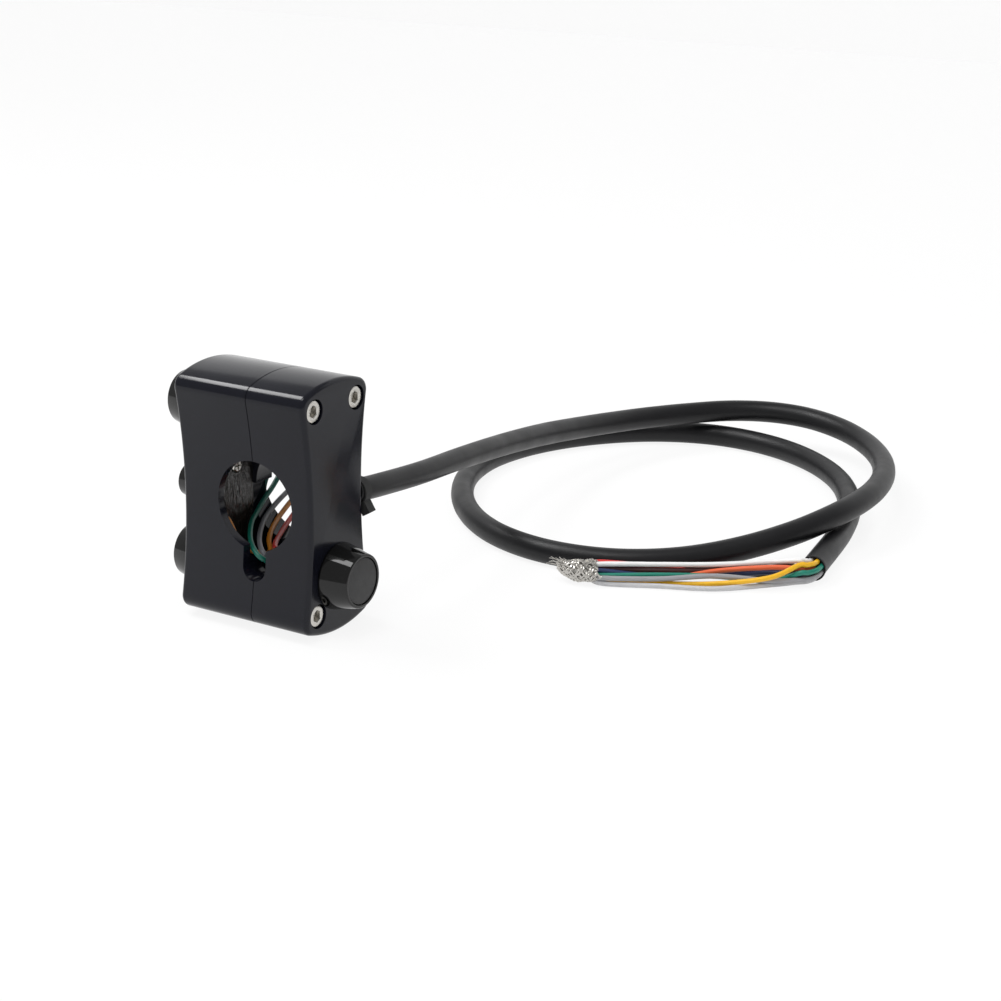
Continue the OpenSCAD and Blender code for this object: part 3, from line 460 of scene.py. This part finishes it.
def length(name, description, default_mm):
    return bpy.props.FloatProperty(name=name, description=description, default=default_mm * MM, unit="LENGTH",
                                   precision=5)


def hex_text(name, description, default):
    return bpy.props.StringProperty(name=name, description=description, default=default, maxlen=7)


class ClusterSizes(bpy.types.PropertyGroup):
    """Sizes shared by the pieces"""
    case_height: length("Casing height", "Height over the arched top and bottom", 62.4)
    waist_depth: length("Waist depth", "Depth of the casing along the bar at its waist", 20.5)
    hollow_radius: length("Hollow radius", "Radius of the hollow front and rear faces", 137)
    crown_radius: length("Crown radius", "Radius of the arched top and bottom", 32)
    corner_radius: length("Corner radius", "Radius of the four long corners", 3.2)
    edge_round: length("Edge round", "Radius of the button faces' edges", 1.2)
    seam_bevel: length("Seam bevel", "Bevel along the split", 0.08)
    seam_gap: length("Seam gap", "Width of the groove along the split", 0.16)
    seam_depth: length("Seam depth", "Depth of the groove along the split", 0.9)
    left_width: length("Left width", "Width of the left half", 22)
    right_width: length("Right width", "Width of the right half", 16.7)
    bar_diameter: length("Bar diameter", "Diameter of the handlebar bore", 22.2)
    slot_width: length("Slot width", "Width of the wire slot", 6.8)
    slot_drop: length("Slot depth", "Depth of the wire slot below the bar", 7.5)
    cable_diameter: length("Cable diameter", "Outer diameter of the cable", 6.5)
    cable_neck: length("Cable neck", "Diameter of the cable where it leaves the casing", 5.8)
    lead_diameter: length("Lead diameter", "Diameter of a stripped lead", 1.35)
    braid_length: length("Braid length", "Length of the tinned braid over the leads' ends", 11.5)
    inner_lead_diameter: length("Inner lead diameter", "Diameter of a lead inside the casing", 1.3)


class ClusterColours(bpy.types.PropertyGroup):
    """Colours of the finishes, as sRGB hex values"""
    casing: hex_text("Casing", "Anodised casing halves", "#0c0d15")
    bezel: hex_text("Bezel", "Button bezels", "#060606")
    cap: hex_text("Cap", "Button caps", "#1b1b1c")
    jacket: hex_text("Jacket", "Cable jacket", "#111113")
    white: hex_text("White lead", "Insulation", "#f0f0f0")
    red: hex_text("Red lead", "Insulation", "#d43a38")
    brown: hex_text("Brown lead", "Insulation", "#45292a")
    black: hex_text("Black lead", "Insulation", "#141414")
    green: hex_text("Green lead", "Insulation", "#18806c")
    orange: hex_text("Orange lead", "Insulation", "#e8693f")
    blue: hex_text("Blue lead", "Insulation", "#2c3860")
    grey: hex_text("Grey lead", "Insulation", "#98989b")
    yellow: hex_text("Yellow lead", "Insulation", "#efb71c")
    pale_grey: hex_text("Pale grey lead", "Insulation", "#c4c4c6")
    inner_green: hex_text("Inner green lead", "Insulation", "#0b5a4c")
    inner_grey: hex_text("Inner grey lead", "Insulation", "#66666a")
    inner_orange: hex_text("Inner orange lead", "Insulation", "#b8731f")
    inner_red: hex_text("Inner red lead", "Insulation", "#b5322d")


# Operators

class CLUSTER_OT_camera(bpy.types.Operator):
    """Camera at the photograph's angle, for a square frame of 1001 pixels"""
    bl_idname = "cluster.camera"
    bl_label = "Camera"
    # Azimuth, elevation and roll in degrees; sensor, lens and eye in millimetres.
    TURNS = (32.45, 17.78, 0.56)
    SENSOR, LENS = 36, 77.03
    EYE = (307.6, -385.7, 156.5)

    def execute(self, context):
        azimuth, elevation, roll = (math.radians(v) for v in self.TURNS)
        back = np.array([math.sin(azimuth) * math.cos(elevation), -math.cos(azimuth) * math.cos(elevation),
                         math.sin(elevation)])
        right = np.array([math.cos(azimuth), math.sin(azimuth), 0])
        up = np.cross(back, right)
        turned_right = math.cos(roll) * right + math.sin(roll) * up
        turned_up = math.cos(roll) * up - math.sin(roll) * right
        data = bpy.data.cameras.new("photo_camera")
        data.sensor_fit = "HORIZONTAL"
        data.sensor_width = self.SENSOR
        data.lens = self.LENS
        data.clip_start = 0.01
        camera = bpy.data.objects.new("photo_camera", data)
        place = np.eye(4)
        place[:3, :3] = np.stack([turned_right, turned_up, back], 1)
        place[:3, 3] = MM * np.array(self.EYE)
        camera.matrix_world = Matrix(place.tolist())
        context.scene.collection.objects.link(camera)
        context.scene.camera = camera
        return {"FINISHED"}


def turned_side(turn):
    """Sideways direction of the lead bundle at a turn in degrees from -Y towards -X."""
    a = np.radians(turn)
    return np.stack([np.cos(a), -np.sin(a)], -1)


def lead_route(place):
    """Route of one stripped lead: the bundle carried round its bend, then its own places across the fan."""
    (across, up), rise, places = place
    bundle = BUNDLE_WAY[:, :2] + across * turned_side(BUNDLE_WAY[:, 2])
    level = CABLE_ROUTE[-1, 2] / MM + up + rise * BUNDLE_WAY[:, 3:]
    spread, height = np.array(places).T
    fan = FAN_WAY[:, :2] + spread[:, None] * turned_side(FAN_WAY[:, 2])
    return MM * np.vstack([np.hstack([bundle, level]), np.hstack([fan, FLOOR_Z + height[:, None]])])


class CLUSTER_OT_cable(bpy.types.Operator):
    """Cable jacket with an open, slightly flared mouth where the leads come out"""
    bl_idname = "cluster.cable"
    bl_label = "Cable"
    STEPS, SIDES = 24, 28
    FLARE_LENGTH, FLARE = 3.5 * MM, 0.15 * MM
    # Mouth: lip, then the jacket's inner wall going back in, as distance along the cable and radius.
    LIP = MM * np.array([(0.1, 3.34), (0.14, 3.22), (0.06, 3.06), (-0.3, 2.98), (-2, 2.94), (-5.5, 2.9),
                         (-5.5, 0.02)])

    def execute(self, context):
        path = smooth(CABLE_ROUTE, self.STEPS)
        share = (np.arange(len(path)) / self.STEPS - NECK_POINT) / (FULL_POINT - NECK_POINT)
        neck, full = sizes().cable_neck / 2, sizes().cable_diameter / 2
        run = np.concatenate([[0], np.cumsum(np.linalg.norm(np.diff(path, axis=0), axis=1))])
        near = np.clip((run - run[-1] + self.FLARE_LENGTH) / self.FLARE_LENGTH, 0, 1)
        outer = neck + (full - neck) * np.clip(share, 0, 1) + self.FLARE * near ** 2
        tangent, side, up = frames(path)
        mouth = path[-1] + self.LIP[:, :1] * tangent[-1]
        a = np.linspace(0, 2 * np.pi, self.SIDES, endpoint=False)[None, :, None]
        inner = mouth[:, None] + self.LIP[:, 1, None, None] * (np.cos(a) * side[-1] + np.sin(a) * up[-1])
        start = np.broadcast_to(path[:1, None], (1, self.SIDES, 3))
        grid = np.concatenate([start, tube_points(path, outer, self.SIDES), inner])
        grid[..., 2] = np.maximum(grid[..., 2], FLOOR_Z * MM)
        mesh = make_mesh("cable_jacket", grid.reshape(-1, 3), [grid_faces(len(grid), self.SIDES)], sharp=40)
        jacket = put("cable_jacket", mesh, material("pvc_jacket"), replaces=["cable"])
        return {"FINISHED"}


def braid_skin(share, angle, swell):
    """Point on the braid: the ring at that share of its length, an ellipse round its middle, swell times its
    size. Two sine waves round and along it make the lump uneven."""
    rings = smooth(BRAID_RINGS, 8)
    across, height, wide, tall = (np.interp(share, rings[:, 0], rings[:, k]) for k in range(1, 5))
    swell = swell * (0.96 + 0.05 * np.sin(3 * angle + 9 * share) + 0.05 * np.sin(2 * angle - 17 * share + 1))
    turn = math.radians(FAN_WAY[-1, 2])
    along = np.array([-math.sin(turn), -math.cos(turn)])
    spot = FAN_WAY[-1, :2] + sizes().braid_length / MM * share[..., None] * along
    spot = spot + (across + swell * wide * np.cos(angle))[..., None] * turned_side(FAN_WAY[-1, 2])
    z = np.maximum(FLOOR_Z + height + swell * tall * np.sin(angle), FLOOR_Z + 0.12)
    return MM * np.concatenate([spot, z[..., None]], -1)


class CLUSTER_OT_leads(bpy.types.Operator):
    """Ten stripped leads that fan out of the cable's mouth, gathered under a sleeve of tinned braid"""
    bl_idname = "cluster.leads"
    bl_label = "Stripped leads"
    # Carriers each way and their turns, loose wires, and radii of a carrier's wire and of a loose one.
    CARRIERS, TURNS, TIPS = 12, 0.8, 22
    WIRE_RADIUS, TIP_RADIUS = 0.14 * MM, 0.1 * MM
    # Run of each lead inside the cable's mouth and under the braid.
    INSIDE, TUCK = 3.5 * MM, 3.2 * MM
    STEPS, SIDES = 10, 14

    def execute(self, context):
        points, faces = joined([self.core(), *self.weave(), *self.frayed_tips()])
        mesh = make_mesh("braid_weave", points, faces, sharp=60)
        braid = put("braid_weave", mesh, material("tinned_copper"), replaces=["braid_end"])
        for colour, place in LEAD_PLACES.items():
            route = lead_route(place)
            back = unit(route[:1] - route[1:2])
            on = unit(route[-1:] - route[-2:-1])
            middle = braid_skin(np.array([self.TUCK / sizes().braid_length]), np.zeros(1), 0.0)
            tucked = 0.5 * (route[-1:] + self.TUCK * on + middle)
            path = smooth(np.vstack([route[:1] + self.INSIDE * back, route, tucked]), self.STEPS)
            points, faces = closed_tube(path, sizes().lead_diameter / 2, self.SIDES)
            mesh = make_mesh(f"{colour}_insulation", points, [faces], sharp=50)
            lead = put(f"{colour}_insulation", mesh, material(f"insulation_{colour}"),
                       replaces=[f"{colour}_lead"])
        return {"FINISHED"}

    def core(self):
        """Closed inner lump at 0.8 of the braid's size, so that the gaps between the wires look dark."""
        s = np.linspace(0.12, 0.97, 30)
        a = np.linspace(0, 2 * np.pi, 40, endpoint=False)
        grid = braid_skin(*np.meshgrid(s, a, indexing="ij"), 0.8)
        ends = np.broadcast_to(grid[[0, -1]].mean(axis=1)[:, None], (2, 40, 3))
        grid = np.concatenate([ends[:1], grid, ends[1:]])
        return grid.reshape(-1, 3), grid_faces(len(grid), 40)

    def weave(self):
        """Carriers of three wires that wind both ways round the lump, over and under at every crossing.
        Those on top start later along it than those below, so the sleeve's edge is slanted and ragged."""
        t = np.linspace(0, 1, 64)
        made = []
        for way in (1, -1):
            for k in range(self.CARRIERS):
                first = 0.06 + 0.1 * math.sin(2 * np.pi * k / self.CARRIERS) + 0.05 * math.sin(2.4 * k + way)
                s = first + (0.985 - first) * t
                wander = 0.12 * np.sin(5 * s + 2.4 * k) + 0.07 * np.sin(13 * s + 1.7 * k * way)
                turn = 2 * np.pi * (k / self.CARRIERS + way * self.TURNS * s) + wander
                lift = 0.93 + 0.045 * way * np.cos(2 * np.pi * self.TURNS * self.CARRIERS * s + np.pi * k)
                for wire in (-1, 0, 1):
                    path = braid_skin(s, turn + 0.085 * wire, lift)
                    made.append(closed_tube(path, self.WIRE_RADIUS, 5))
        return made

    def frayed_tips(self):
        """Loose wires that leave the braid's end: out along it, bending up and apart by uneven steps."""
        turn = math.radians(FAN_WAY[-1, 2])
        along = np.array([-math.sin(turn), -math.cos(turn), 0])
        aside = np.array([*turned_side(FAN_WAY[-1, 2]), 0])
        t = np.linspace(0, 1, 14)[:, None]
        made = []
        for k in range(self.TIPS):
            p, q, r = ((0.618 * k) % 1, (0.414 * k + 0.3) % 1, (0.732 * k + 0.6) % 1)
            start = braid_skin(np.array(0.72 + 0.24 * p), np.array(np.pi * (0.05 + 1.0 * q)), 0.9)
            out = (1 + 2.2 * r) * along + (1.6 * q - 1.1) * aside + np.array([0, 0, 0.2 + 1.3 * p])
            bend = np.array([0, 0, 0.5 - 1.2 * r]) + (p - 0.5) * aside
            path = start + MM * (t * out + t ** 2 * bend)
            path[:, 2] = np.maximum(path[:, 2], (FLOOR_Z + 0.2) * MM)
            made.append(closed_tube(path, self.TIP_RADIUS, 5))
        return made


class CLUSTER_OT_inner_leads(bpy.types.Operator):
    """Leads that show in the bar's bore"""
    bl_idname = "cluster.inner_leads"
    bl_label = "Inner leads"
    STEPS, SIDES = 8, 16

    def execute(self, context):
        for colour, route in INNER_ROUTES.items():
            path = smooth(MM * np.array(route), self.STEPS)
            points, faces = closed_tube(path, sizes().inner_lead_diameter / 2, self.SIDES)
            mesh = make_mesh(f"{colour}_inner_insulation", points, [faces], sharp=50)
            put(f"{colour}_inner_insulation", mesh, material(f"insulation_inner_{colour}"),
                replaces=[f"{colour}_inner_lead"])
        return {"FINISHED"}


class CLUSTER_OT_casing(bpy.types.Operator):
    """The two anodised casing halves"""
    bl_idname = "cluster.casing"
    bl_label = "Casing halves"
    # Hollows as (y, z) in millimetres: the right board's pocket, its switch's well, the left half's cavity.
    BOARD_POCKET = [(-5.2, -23.6), (5.2, -23.6), (5.2, -12), (-5.2, -12)]
    POCKET_DEPTH = 8.9
    SWITCH_WELL = [(-4, -21.15), (4, -21.15), (4, -13.15), (-4, -13.15)]
    CAVITY = [(4.2, -23.8), (4.2, 24.6), (-4.6, 24.6), (-4.6, 12.2), (-8.2, 12.2), (-8.2, -13.9),
              (-4.6, -13.9), (-4.6, -23.8)]
    # Radii of the screws' clearance, thread and head, and of the relief for the inner leads.
    HOLE, THREAD, THREAD_DEPTH, SINK, SINK_DEPTH = 1.6, 1.5, 12.7, 3.0, 3.4
    RELIEF, RELIEF_START = 13.4, -8.2
    NECKS = {"large": 7.2, "small": 4.75}

    def execute(self, context):
        s = sizes()
        right, left = s.right_width / MM, s.left_width / MM
        pocket = tool_mesh(prism(np.array(self.BOARD_POCKET), 0, -1, self.POCKET_DEPTH))
        well = tool_mesh(prism(np.array(self.SWITCH_WELL), 0, 8, right - FACE_WALL))
        holes = [disc_tool(spot, self.HOLE, 0, -1, right + 1, 40) for spot in SCREW_SPOTS]
        floor = right - self.SINK_DEPTH
        sinks = [disc_tool(spot, self.SINK, 0, floor, right + 1, 64) for spot in SCREW_SPOTS]
        self.half("right", right, 1, [pocket, well, tool_mesh(*holes), tool_mesh(*sinks)])

        cavity = tool_mesh(prism(np.array(self.CAVITY), 0, -left + FACE_WALL, 1))
        r = self.RELIEF
        relief = np.vstack([[(0, 0)], arc((0, 0), r, 180, 270, 32), [(0, -r)]])
        relief = tool_mesh(prism(relief, 1, self.RELIEF_START, 30))
        holes = [disc_tool(spot, self.THREAD, 0, -self.THREAD_DEPTH, 1, 40) for spot in SCREW_SPOTS]
        self.half("left", left, -1, [cavity, relief, tool_mesh(*holes)])
        return {"FINISHED"}

    def half(self, name, width, way, tools):
        """One half: lofted outwards from the split, cut by the bar, its own tools and its buttons' necks."""
        points, faces = ring_loft(MM * half_rings(sizes(), width) * (way, 1, 1))
        bore = tool_mesh(prism(bar_profile(sizes()), 1, -30, 30))
        ends = sorted((way * (width - FACE_WALL), way * (width + 1)))
        necks = [disc_tool((0, z), self.NECKS[kind], 0, *ends)
                 for z, kind, side in BUTTONS.values() if side == way]
        mesh = cut(make_mesh(f"{name}_half", points, faces), [bore, *tools, tool_mesh(*necks)])
        put(f"{name}_half", mesh, material("anodised_aluminium"), replaces=[f"{name}_casing"])


def stand_on_face(points, button):
    """Button-local points (x, y, out) turned onto their face: out along -X on the left, +X on the right."""
    z, _, way = BUTTONS[button]
    width = (sizes().right_width if way > 0 else sizes().left_width) / MM
    x, y, out = points.T
    return MM * np.stack([way * (width + out), y, z - way * x], -1)


class CLUSTER_OT_buttons(bpy.types.Operator):
    """Four push buttons: polished conical bezels and satin caps"""
    bl_idname = "cluster.buttons"
    bl_label = "Push buttons"
    SIDES = 128
    # Millimetres: the cap's play in its bore, the neck's wall outside it, and the cap's own walls.
    PLAY, NECK, FLANGE, RECESS, TOP_THICKNESS, WALL = 0.1, 1.4, 0.45, 0.2, 1.5, 0.85
    LARGE = {"cap": 5.75, "base": 8.2, "rim": 6.6, "height": 7.3, "stem": 1.9}
    SMALL = {"cap": 3.3, "base": 5.2, "rim": 4.15, "height": 7, "stem": 1.65}

    def execute(self, context):
        for button, (_, kind, _) in BUTTONS.items():
            d = self.LARGE if kind == "large" else self.SMALL
            self.skin(button, "bezel", self.bezel(d), True, "gloss_moulding", HOUSING)
            self.skin(button, "cap", self.cap(d), False, "satin_moulding", f"{button}_button")
        return {"FINISHED"}

    def bezel(self, d):
        """Closed profile (radius, out): neck in the casing, base, cone, rim and the cap's stepped bore."""
        bore, neck = d["cap"] + self.PLAY, d["cap"] + self.NECK
        step = bore + self.FLANGE
        return rounded(
            [(step, -3.6), (neck, -3.6), (neck, 0), (d["base"], 0), (d["base"], 0.4), (d["rim"], d["height"]),
             (bore, d["height"]), (bore, 1.2), (step, 1.2)],
            [0, 0.2, 0, 0.1, 0.15, 0.32, 0.12, 0, 0])

    def cap(self, d):
        """Profile (radius, out) from the stem's end to the top's middle: stem, hollow, skirt, flange, top."""
        top, edge = d["height"] - self.RECESS, d["cap"] + self.FLANGE
        inside, wall = top - self.TOP_THICKNESS, d["cap"] - self.WALL
        corners = [(d["stem"], -3), (d["stem"], inside), (wall, inside), (wall, 0), (edge, 0), (edge, 1.1),
                   (d["cap"], 1.1), (d["cap"], top), (0, top), (0, -3)]
        side = rounded(corners, [0.1, 0, 0, 0.1, 0.1, 0.1, 0, 0.3, 0, 0])
        return np.vstack([[(0, -3)], side[:-1]])

    def skin(self, button, slot, profile, closed, finish, body):
        """Profile turned about the button's axis, in place of a node."""
        node = f"{button}_{slot}"
        points, faces = lathe(profile, self.SIDES, closed)
        mesh = make_mesh(f"{node}_skin", stand_on_face(points, button), [faces], sharp=35)
        put(f"{node}_skin", mesh, material(finish), body, [node])


def screw(profile, recess, sides):
    """Turned screw: a row's radius is its own, or the recess at that angle times the row's last number."""
    a = np.linspace(0, 2 * np.pi, sides, endpoint=False)
    rows = np.asarray(profile, float)
    plain = np.broadcast_to(rows[:, 1:2], (len(rows), sides))
    shaped = rows[:, 2:3] * recess(a)[None]
    r = np.where(rows[:, 2:3] > 0, shaped, plain)
    grid = np.stack([np.broadcast_to(rows[:, :1], r.shape), r * np.cos(a), r * np.sin(a)], -1)
    return grid.reshape(-1, 3), grid_faces(len(rows), sides)


def hexagon(a):
    """Radius of a hexagon 2.5 mm across its flats at angle a."""
    return 1.25 / np.cos((a + np.pi / 6) % (np.pi / 3) - np.pi / 6)


def cross(a):
    """Radius of a cross recess 2.2 mm long with arms 0.45 mm wide at angle a."""
    c, s = np.abs(np.cos(a) + 1e-9), np.abs(np.sin(a) + 1e-9)
    half_length, half_width = 1.1, 0.225
    flat = np.minimum(half_length / c, half_width / s)
    upright = np.minimum(half_length / s, half_width / c)
    return np.maximum(flat, upright)


class CLUSTER_OT_screws(bpy.types.Operator):
    """Four socket-head clamp screws and one small board screw"""
    bl_idname = "cluster.screws"
    bl_label = "Screws"

    # Rows: distance along the screw, radius, or a scale of the recess where that is not zero.
    SOCKET_ROWS = [(-25, 0, 0), (-25, 1.1, 0), (-24.6, 1.45, 0), (-0.2, 1.45, 0), (0, 1.6, 0), (0, 2.6, 0),
                   (0.12, 2.75, 0), (2.55, 2.75, 0), (2.75, 2.7, 0), (2.92, 2.55, 0), (3, 2.3, 0),
                   (3, 1.9, 0), (2.98, 0, 1.12), (2.82, 0, 1.0), (1.35, 0, 1.0), (1.0, 0, 0.02)]
    SMALL_ROWS = [(-4.8, 0, 0), (-4.8, 0.7, 0), (-4.6, 0.95, 0), (0, 0.95, 0), (0, 1.7, 0), (0.05, 1.75, 0),
                  (0.5, 1.75, 0), (0.85, 1.6, 0), (1.08, 1.4, 0), (1.18, 1.2, 0), (1.2, 0, 1.03),
                  (1.15, 0, 1.0), (0.6, 0, 0.9), (0.5, 0, 0.02)]
    # Seats under the heads: the clamp screws' distance from the split, and the board screw's place.
    SOCKET_SEAT, SMALL_SEAT = 13.3, (-13, -1.7, 5.8)

    def execute(self, context):
        points, faces = screw(self.SOCKET_ROWS, hexagon, 96)
        four = [(MM * (points + (self.SOCKET_SEAT, *spot)), faces) for spot in SCREW_SPOTS]
        self.steel("socket_screws", *joined(four), "clamp_screws")
        points, faces = screw(self.SMALL_ROWS, cross, 160)
        self.steel("small_screw", MM * (points + self.SMALL_SEAT), [faces], "board_screw")
        return {"FINISHED"}

    def steel(self, name, points, faces, node):
        """Stainless piece in place of a node."""
        mesh = make_mesh(name, points, faces, sharp=25)
        put(name, mesh, material("stainless_steel"), replaces=[node])


class CLUSTER_OT_tie(bpy.types.Operator):
    """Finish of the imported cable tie"""
    bl_idname = "cluster.tie"
    bl_label = "Cable tie"

    def execute(self, context):
        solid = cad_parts["cable_tie"].data
        solid.materials.clear()
        solid.materials.append(material("nylon"))
        return {"FINISHED"}


class CLUSTER_OT_springs(bpy.types.Operator):
    """Return springs: the imported coils copied in spring wire, in place of their nodes"""
    bl_idname = "cluster.springs"
    bl_label = "Return springs"
    TRAVEL = 1.2 * MM

    def execute(self, context):
        for button, (_, _, way) in BUTTONS.items():
            node = f"{button}_spring"
            coil = put(f"{button}_coil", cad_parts[node].data.copy(), material("spring_wire"),
                       replaces=[node])
            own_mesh(coil)
        return {"FINISHED"}


class CLUSTER_OT_inside(bpy.types.Operator):
    """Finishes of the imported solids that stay: boards, resin, switches and seals"""
    bl_idname = "cluster.inside"
    bl_label = "Inner solids"

    def execute(self, context):
        kinds = {"board": "solder_mask", "potting": "potting_resin", "switch": "switch_moulding",
                 "plunger": "plunger_moulding", "gasket": "nitrile"}
        for name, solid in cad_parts.items():
            kind = name.rsplit("_", 1)[-1]
            if kind in kinds:
                solid.data.materials.clear()
                solid.data.materials.append(material(kinds[kind]))
        return {"FINISHED"}


class CLUSTER_OT_stage(bpy.types.Operator):
    """Pale floor, white surroundings and soft studio lamps"""
    bl_idname = "cluster.stage"
    bl_label = "Stage"
    # Metres: half the floor's side; the backdrop's left, right, distance and top.
    FLOOR_HALF = 3
    BACKDROP = (-2.6, 1.2, 1.3, 1.3)
    LAMPS = (
        ("side_softbox", "AREA", (-0.48, -0.02, 0.7),
         {"energy": 4.0, "shape": "RECTANGLE", "size": 0.4, "size_y": 0.28}),
        ("top_softbox", "AREA", (-0.03, -0.22, 0.85), {"energy": 1.9, "size": 0.3}),
        ("ceiling_light", "SUN", (0.3, -0.4, 0.85), {"energy": 1.0, "angle": math.radians(70)}),
    )
    # Share of plain white in the paper to the camera and in mirrors, and the light of the surroundings.
    WHITE_SHARE, SURROUND = 0.88, 0.4

    def execute(self, context):
        scene = context.scene
        scene.view_settings.view_transform = "Standard"
        paper = self.paper()
        level = FLOOR_Z * MM - 0.0001
        f, (left, right, away, top) = self.FLOOR_HALF, self.BACKDROP
        self.sheet(scene, "floor", [(-f, -f, level), (f, -f, level), (f, f, level), (-f, f, level)], paper)
        self.sheet(scene, "backdrop", [(left, away, level), (right, away, level), (right, away, top),
                                       (left, away, top)], paper)
        self.surroundings(scene)
        for name, kind, place, settings in self.LAMPS:
            data = bpy.data.lights.new(name, kind)
            for key, value in settings.items():
                setattr(data, key, value)
            lamp = bpy.data.objects.new(name, data)
            back = unit(np.array(place))
            side = unit(np.cross((0, 0, 1), back))
            turn = np.eye(4)
            turn[:3, :3] = np.stack([side, np.cross(back, side), back], 1)
            turn[:3, 3] = place
            lamp.matrix_world = Matrix(turn.tolist())
            lamp.visible_glossy = kind == "AREA"
            scene.collection.objects.link(lamp)
        return {"FINISHED"}

    def paper(self):
        """Matt white paper, white to the camera and in mirrors, with the part's soft shadow."""
        made = bpy.data.materials.new("matt_white_paper")
        made.use_nodes = True
        tree = made.node_tree
        tree.nodes.clear()
        path = add(tree, "ShaderNodeLightPath").outputs
        seen = path["Is Camera Ray"]
        for ray in ("Is Glossy Ray", "Is Transmission Ray"):
            seen = add(tree, "ShaderNodeMath", {0: seen, 1: path[ray]}, operation="MAXIMUM").outputs[0]
        share = add(tree, "ShaderNodeMath", {0: seen, 1: self.WHITE_SHARE}, operation="MULTIPLY")
        matt = add(tree, "ShaderNodeBsdfDiffuse", {"Color": linear("#f4f4f4")})
        glow = add(tree, "ShaderNodeEmission", {"Color": (1, 1, 1, 1), "Strength": 1.0})
        mixed = add(tree, "ShaderNodeMixShader",
                    {0: share.outputs[0], 1: matt.outputs[0], 2: glow.outputs[0]})
        add(tree, "ShaderNodeOutputMaterial", {"Surface": mixed.outputs[0]})
        return made

    def sheet(self, scene, name, corners, paper):
        """Flat four-cornered sheet of paper."""
        mesh = bpy.data.meshes.new(name)
        mesh.from_pydata(corners, [], [(0, 1, 2, 3)])
        mesh.materials.append(paper)
        sheet = bpy.data.objects.new(name, mesh)
        scene.collection.objects.link(sheet)

    def surroundings(self, scene):
        """White to the camera; a plain grey level as light."""
        world = bpy.data.worlds.new("studio")
        scene.world = world
        world.use_nodes = True
        tree = world.node_tree
        tree.nodes.clear()
        path = add(tree, "ShaderNodeLightPath").outputs
        light = add(tree, "ShaderNodeBackground", {"Color": (1, 1, 1, 1), "Strength": self.SURROUND})
        seen = add(tree, "ShaderNodeBackground", {"Color": (1, 1, 1, 1), "Strength": 1.0})
        mixed = add(tree, "ShaderNodeMixShader",
                    {0: path["Is Camera Ray"], 1: light.outputs[0], 2: seen.outputs[0]})
        add(tree, "ShaderNodeOutputWorld", {"Surface": mixed.outputs[0]})


class CLUSTER_PT_panel(bpy.types.Panel):
    """Lists the cluster's pieces and their sizes"""
    bl_idname = "CLUSTER_PT_panel"
    bl_label = "Switch cluster"
    bl_space_type = "VIEW_3D"
    bl_region_type = "UI"
    bl_category = "Switch cluster"

    def draw(self, context):
        for step in STEPS:
            self.layout.operator(step.bl_idname)
        for group in (context.scene.cluster_sizes, context.scene.cluster_colours):
            for key in group.__annotations__:
                self.layout.prop(group, key)


STEPS = (CLUSTER_OT_camera, CLUSTER_OT_cable, CLUSTER_OT_leads, CLUSTER_OT_inner_leads, CLUSTER_OT_casing,
         CLUSTER_OT_buttons, CLUSTER_OT_springs, CLUSTER_OT_screws, CLUSTER_OT_tie, CLUSTER_OT_inside,
         CLUSTER_OT_stage)
CLASSES = (ClusterSizes, ClusterColours, *STEPS, CLUSTER_PT_panel)


def register():
    for made in CLASSES:
        bpy.utils.register_class(made)
    bpy.types.Scene.cluster_sizes = bpy.props.PointerProperty(type=ClusterSizes)
    bpy.types.Scene.cluster_colours = bpy.props.PointerProperty(type=ClusterColours)


def unregister():
    del bpy.types.Scene.cluster_colours
    del bpy.types.Scene.cluster_sizes
    for made in reversed(CLASSES):
        bpy.utils.unregister_class(made)


def main():
    register()
    bpy.ops.cluster.camera()
    bpy.ops.cluster.cable()
    bpy.ops.cluster.leads()
    bpy.ops.cluster.inner_leads()
    bpy.ops.cluster.casing()
    bpy.ops.cluster.buttons()
    bpy.ops.cluster.springs()
    bpy.ops.cluster.screws()
    bpy.ops.cluster.tie()
    bpy.ops.cluster.inside()
    bpy.ops.cluster.stage()


if __name__ == "__main__":
    main()
